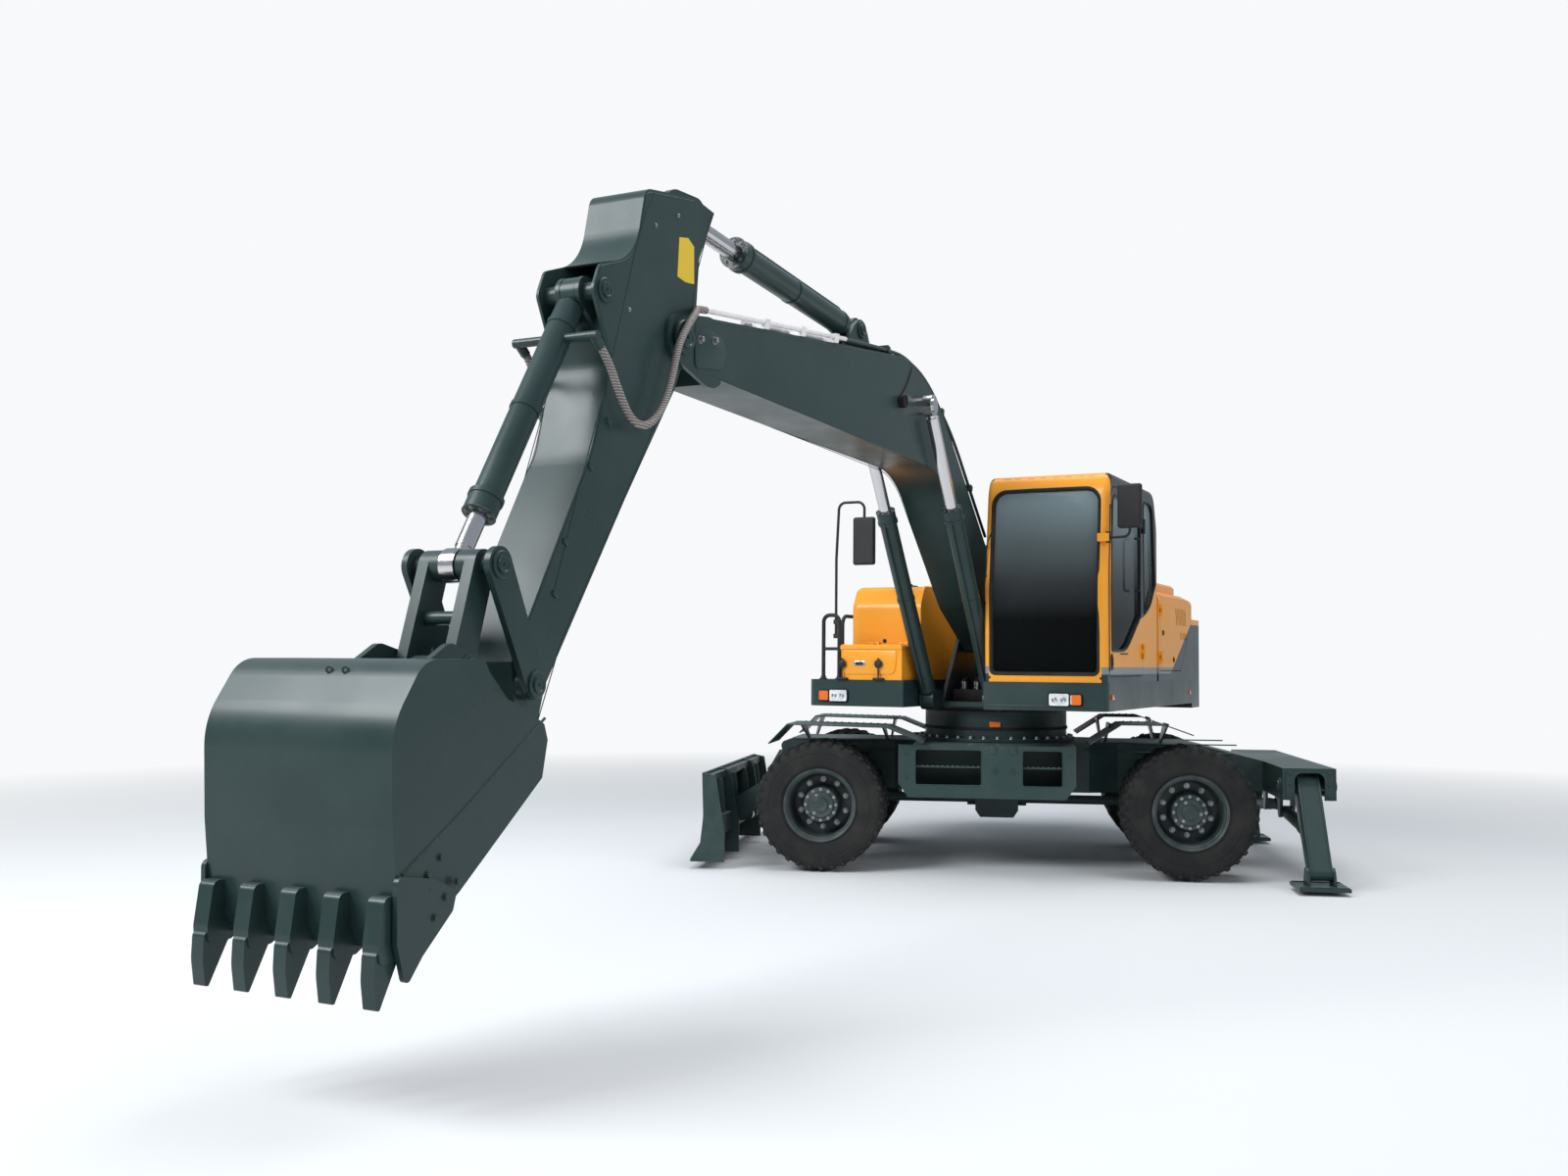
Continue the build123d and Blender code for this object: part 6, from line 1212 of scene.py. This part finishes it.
for body, (dark, bright) in ram_trim.items():
    fitted(joined(f"{body}_trim", *dark), body, steel_enamel)
    fitted(joined(f"{body}_bolts", *bright), body, edge_steel)
fitted(placed(joined("boom_back_pipes", *runs), BOOM_FRAME), "boom", steel_enamel)

# ---- Bucket linkage ----
# Rocker plates and a forked link on hardened pins, each pin with an end cap.
rocker_trim, link_trim = [], []
for side in (-1, 1):
    for spot in (ROCKER_FOOT, ROCKER_TOP):
        rocker_trim.append(scattered("rocker_cap", pin_cap, [(spot.x, side * 0.2345, spot.z)],
                                     (0, side, 0)))
fitted(joined("rocker_pin_caps", *rocker_trim), "rockers", steel_enamel)
BUCKET_PIN = Vector((6.9495, 0, 1.2802))
for side in (-1, 1):
    for spot in (BUCKET_PIN, BUCKET_PIN + Vector((0.385, 0, 0.318))):
        link_trim.append(scattered("bucket_cap", pin_cap, [(spot.x, side * 0.2005, spot.z)],
                                   (0, side, 0)))

# ---- Bucket and teeth ----
# Rolled steel shell with side cutters, wear strips welded across its back, rib
# pairs behind the lip, and five cast teeth on adapters.
bucket_trim = link_trim
# columns: distance behind the pin, height from it
BACK_STRIPS = [(1.118, 0.100), (1.136, -0.092), (1.133, -0.255), (1.117, -0.392)]
SIDE_WELD = [(0.238, 0.134), (0.590, -0.091), (0.943, -0.327), (1.083, -0.398)]
CUTTER_WELDS = [((0.875, -0.406), (0.828, -0.466)), ((0.955, -0.464), (0.900, -0.510))]
CUTTER_BOLTS = [(0.876, -0.359), (0.946, -0.415), (0.802, -0.455), (0.867, -0.504),
                (0.925, -0.571)]
SIDE_Y, CUTTER_Y, CUTTER_TOP = 0.465, 0.485, -0.44


def by_bucket(x, y, z):
    """A place given from the bucket's pin."""
    return BUCKET_PIN.x + x, y, BUCKET_PIN.z + z


for x, z in BACK_STRIPS:
    bucket_trim.append(bead("back_strip", [by_bucket(x + 0.002, y, z) for y in (-0.455, 0.455)],
                            0.013))
for side in (-1, 1):
    bucket_trim.append(bead("side_weld", [by_bucket(x, side * SIDE_Y, z) for x, z in SIDE_WELD],
                            0.012))
    for line in CUTTER_WELDS:
        bucket_trim.append(bead("cutter_weld", [by_bucket(x, side * CUTTER_Y, z)
                                                for x, z in line], 0.010))
    spots = [by_bucket(x, side * (CUTTER_Y if z < CUTTER_TOP else SIDE_Y), z)
             for x, z in CUTTER_BOLTS]
    bucket_trim.append(scattered("cutter_bolts", dark_bolt, spots, (0, side, 0)))
for y in (0.04, 0.12):
    plug = spun("drain_hole", [(0, 0.006), (0, 0.016), (0.004, 0.014), (0.004, 0.006)], 20)
    lean = Matrix.Rotation(radians(-62), 4, "Z")
    bucket_trim.append(placed(plug, Matrix.Translation(by_bucket(1.020, y, 0.330)) @ lean))
fitted(joined("bucket_trim", *bucket_trim), "bucket", steel_enamel)
joints = []
TOOTH_PITCH = 0.2088
for i in range(5):
    y = (i - 2) * TOOTH_PITCH
    for side in (-1, 1):
        joints.append(bead("tooth_joint", [by_bucket(1.098, y + side * 0.036, -0.62),
                                           by_bucket(1.080, y + side * 0.032, -0.66)], 0.007))
    pin = spun("tooth_pin", [(-0.0385, 0), (-0.0385, 0.010), (0.0385, 0.010), (0.0385, 0)], 14)
    joints.append(placed(pin, Matrix.Translation(by_bucket(1.075, y, -0.60))))
fitted(joined("tooth_pins", *joints), "bucket", edge_steel)

# ---- Last settings and clean-up ----
bpy.context.scene.view_settings.view_transform = "Standard"
for pattern in (small_bolt, large_bolt, dark_bolt, pin_cap):
    bpy.data.objects.remove(pattern)
bpy.context.view_layer.update()
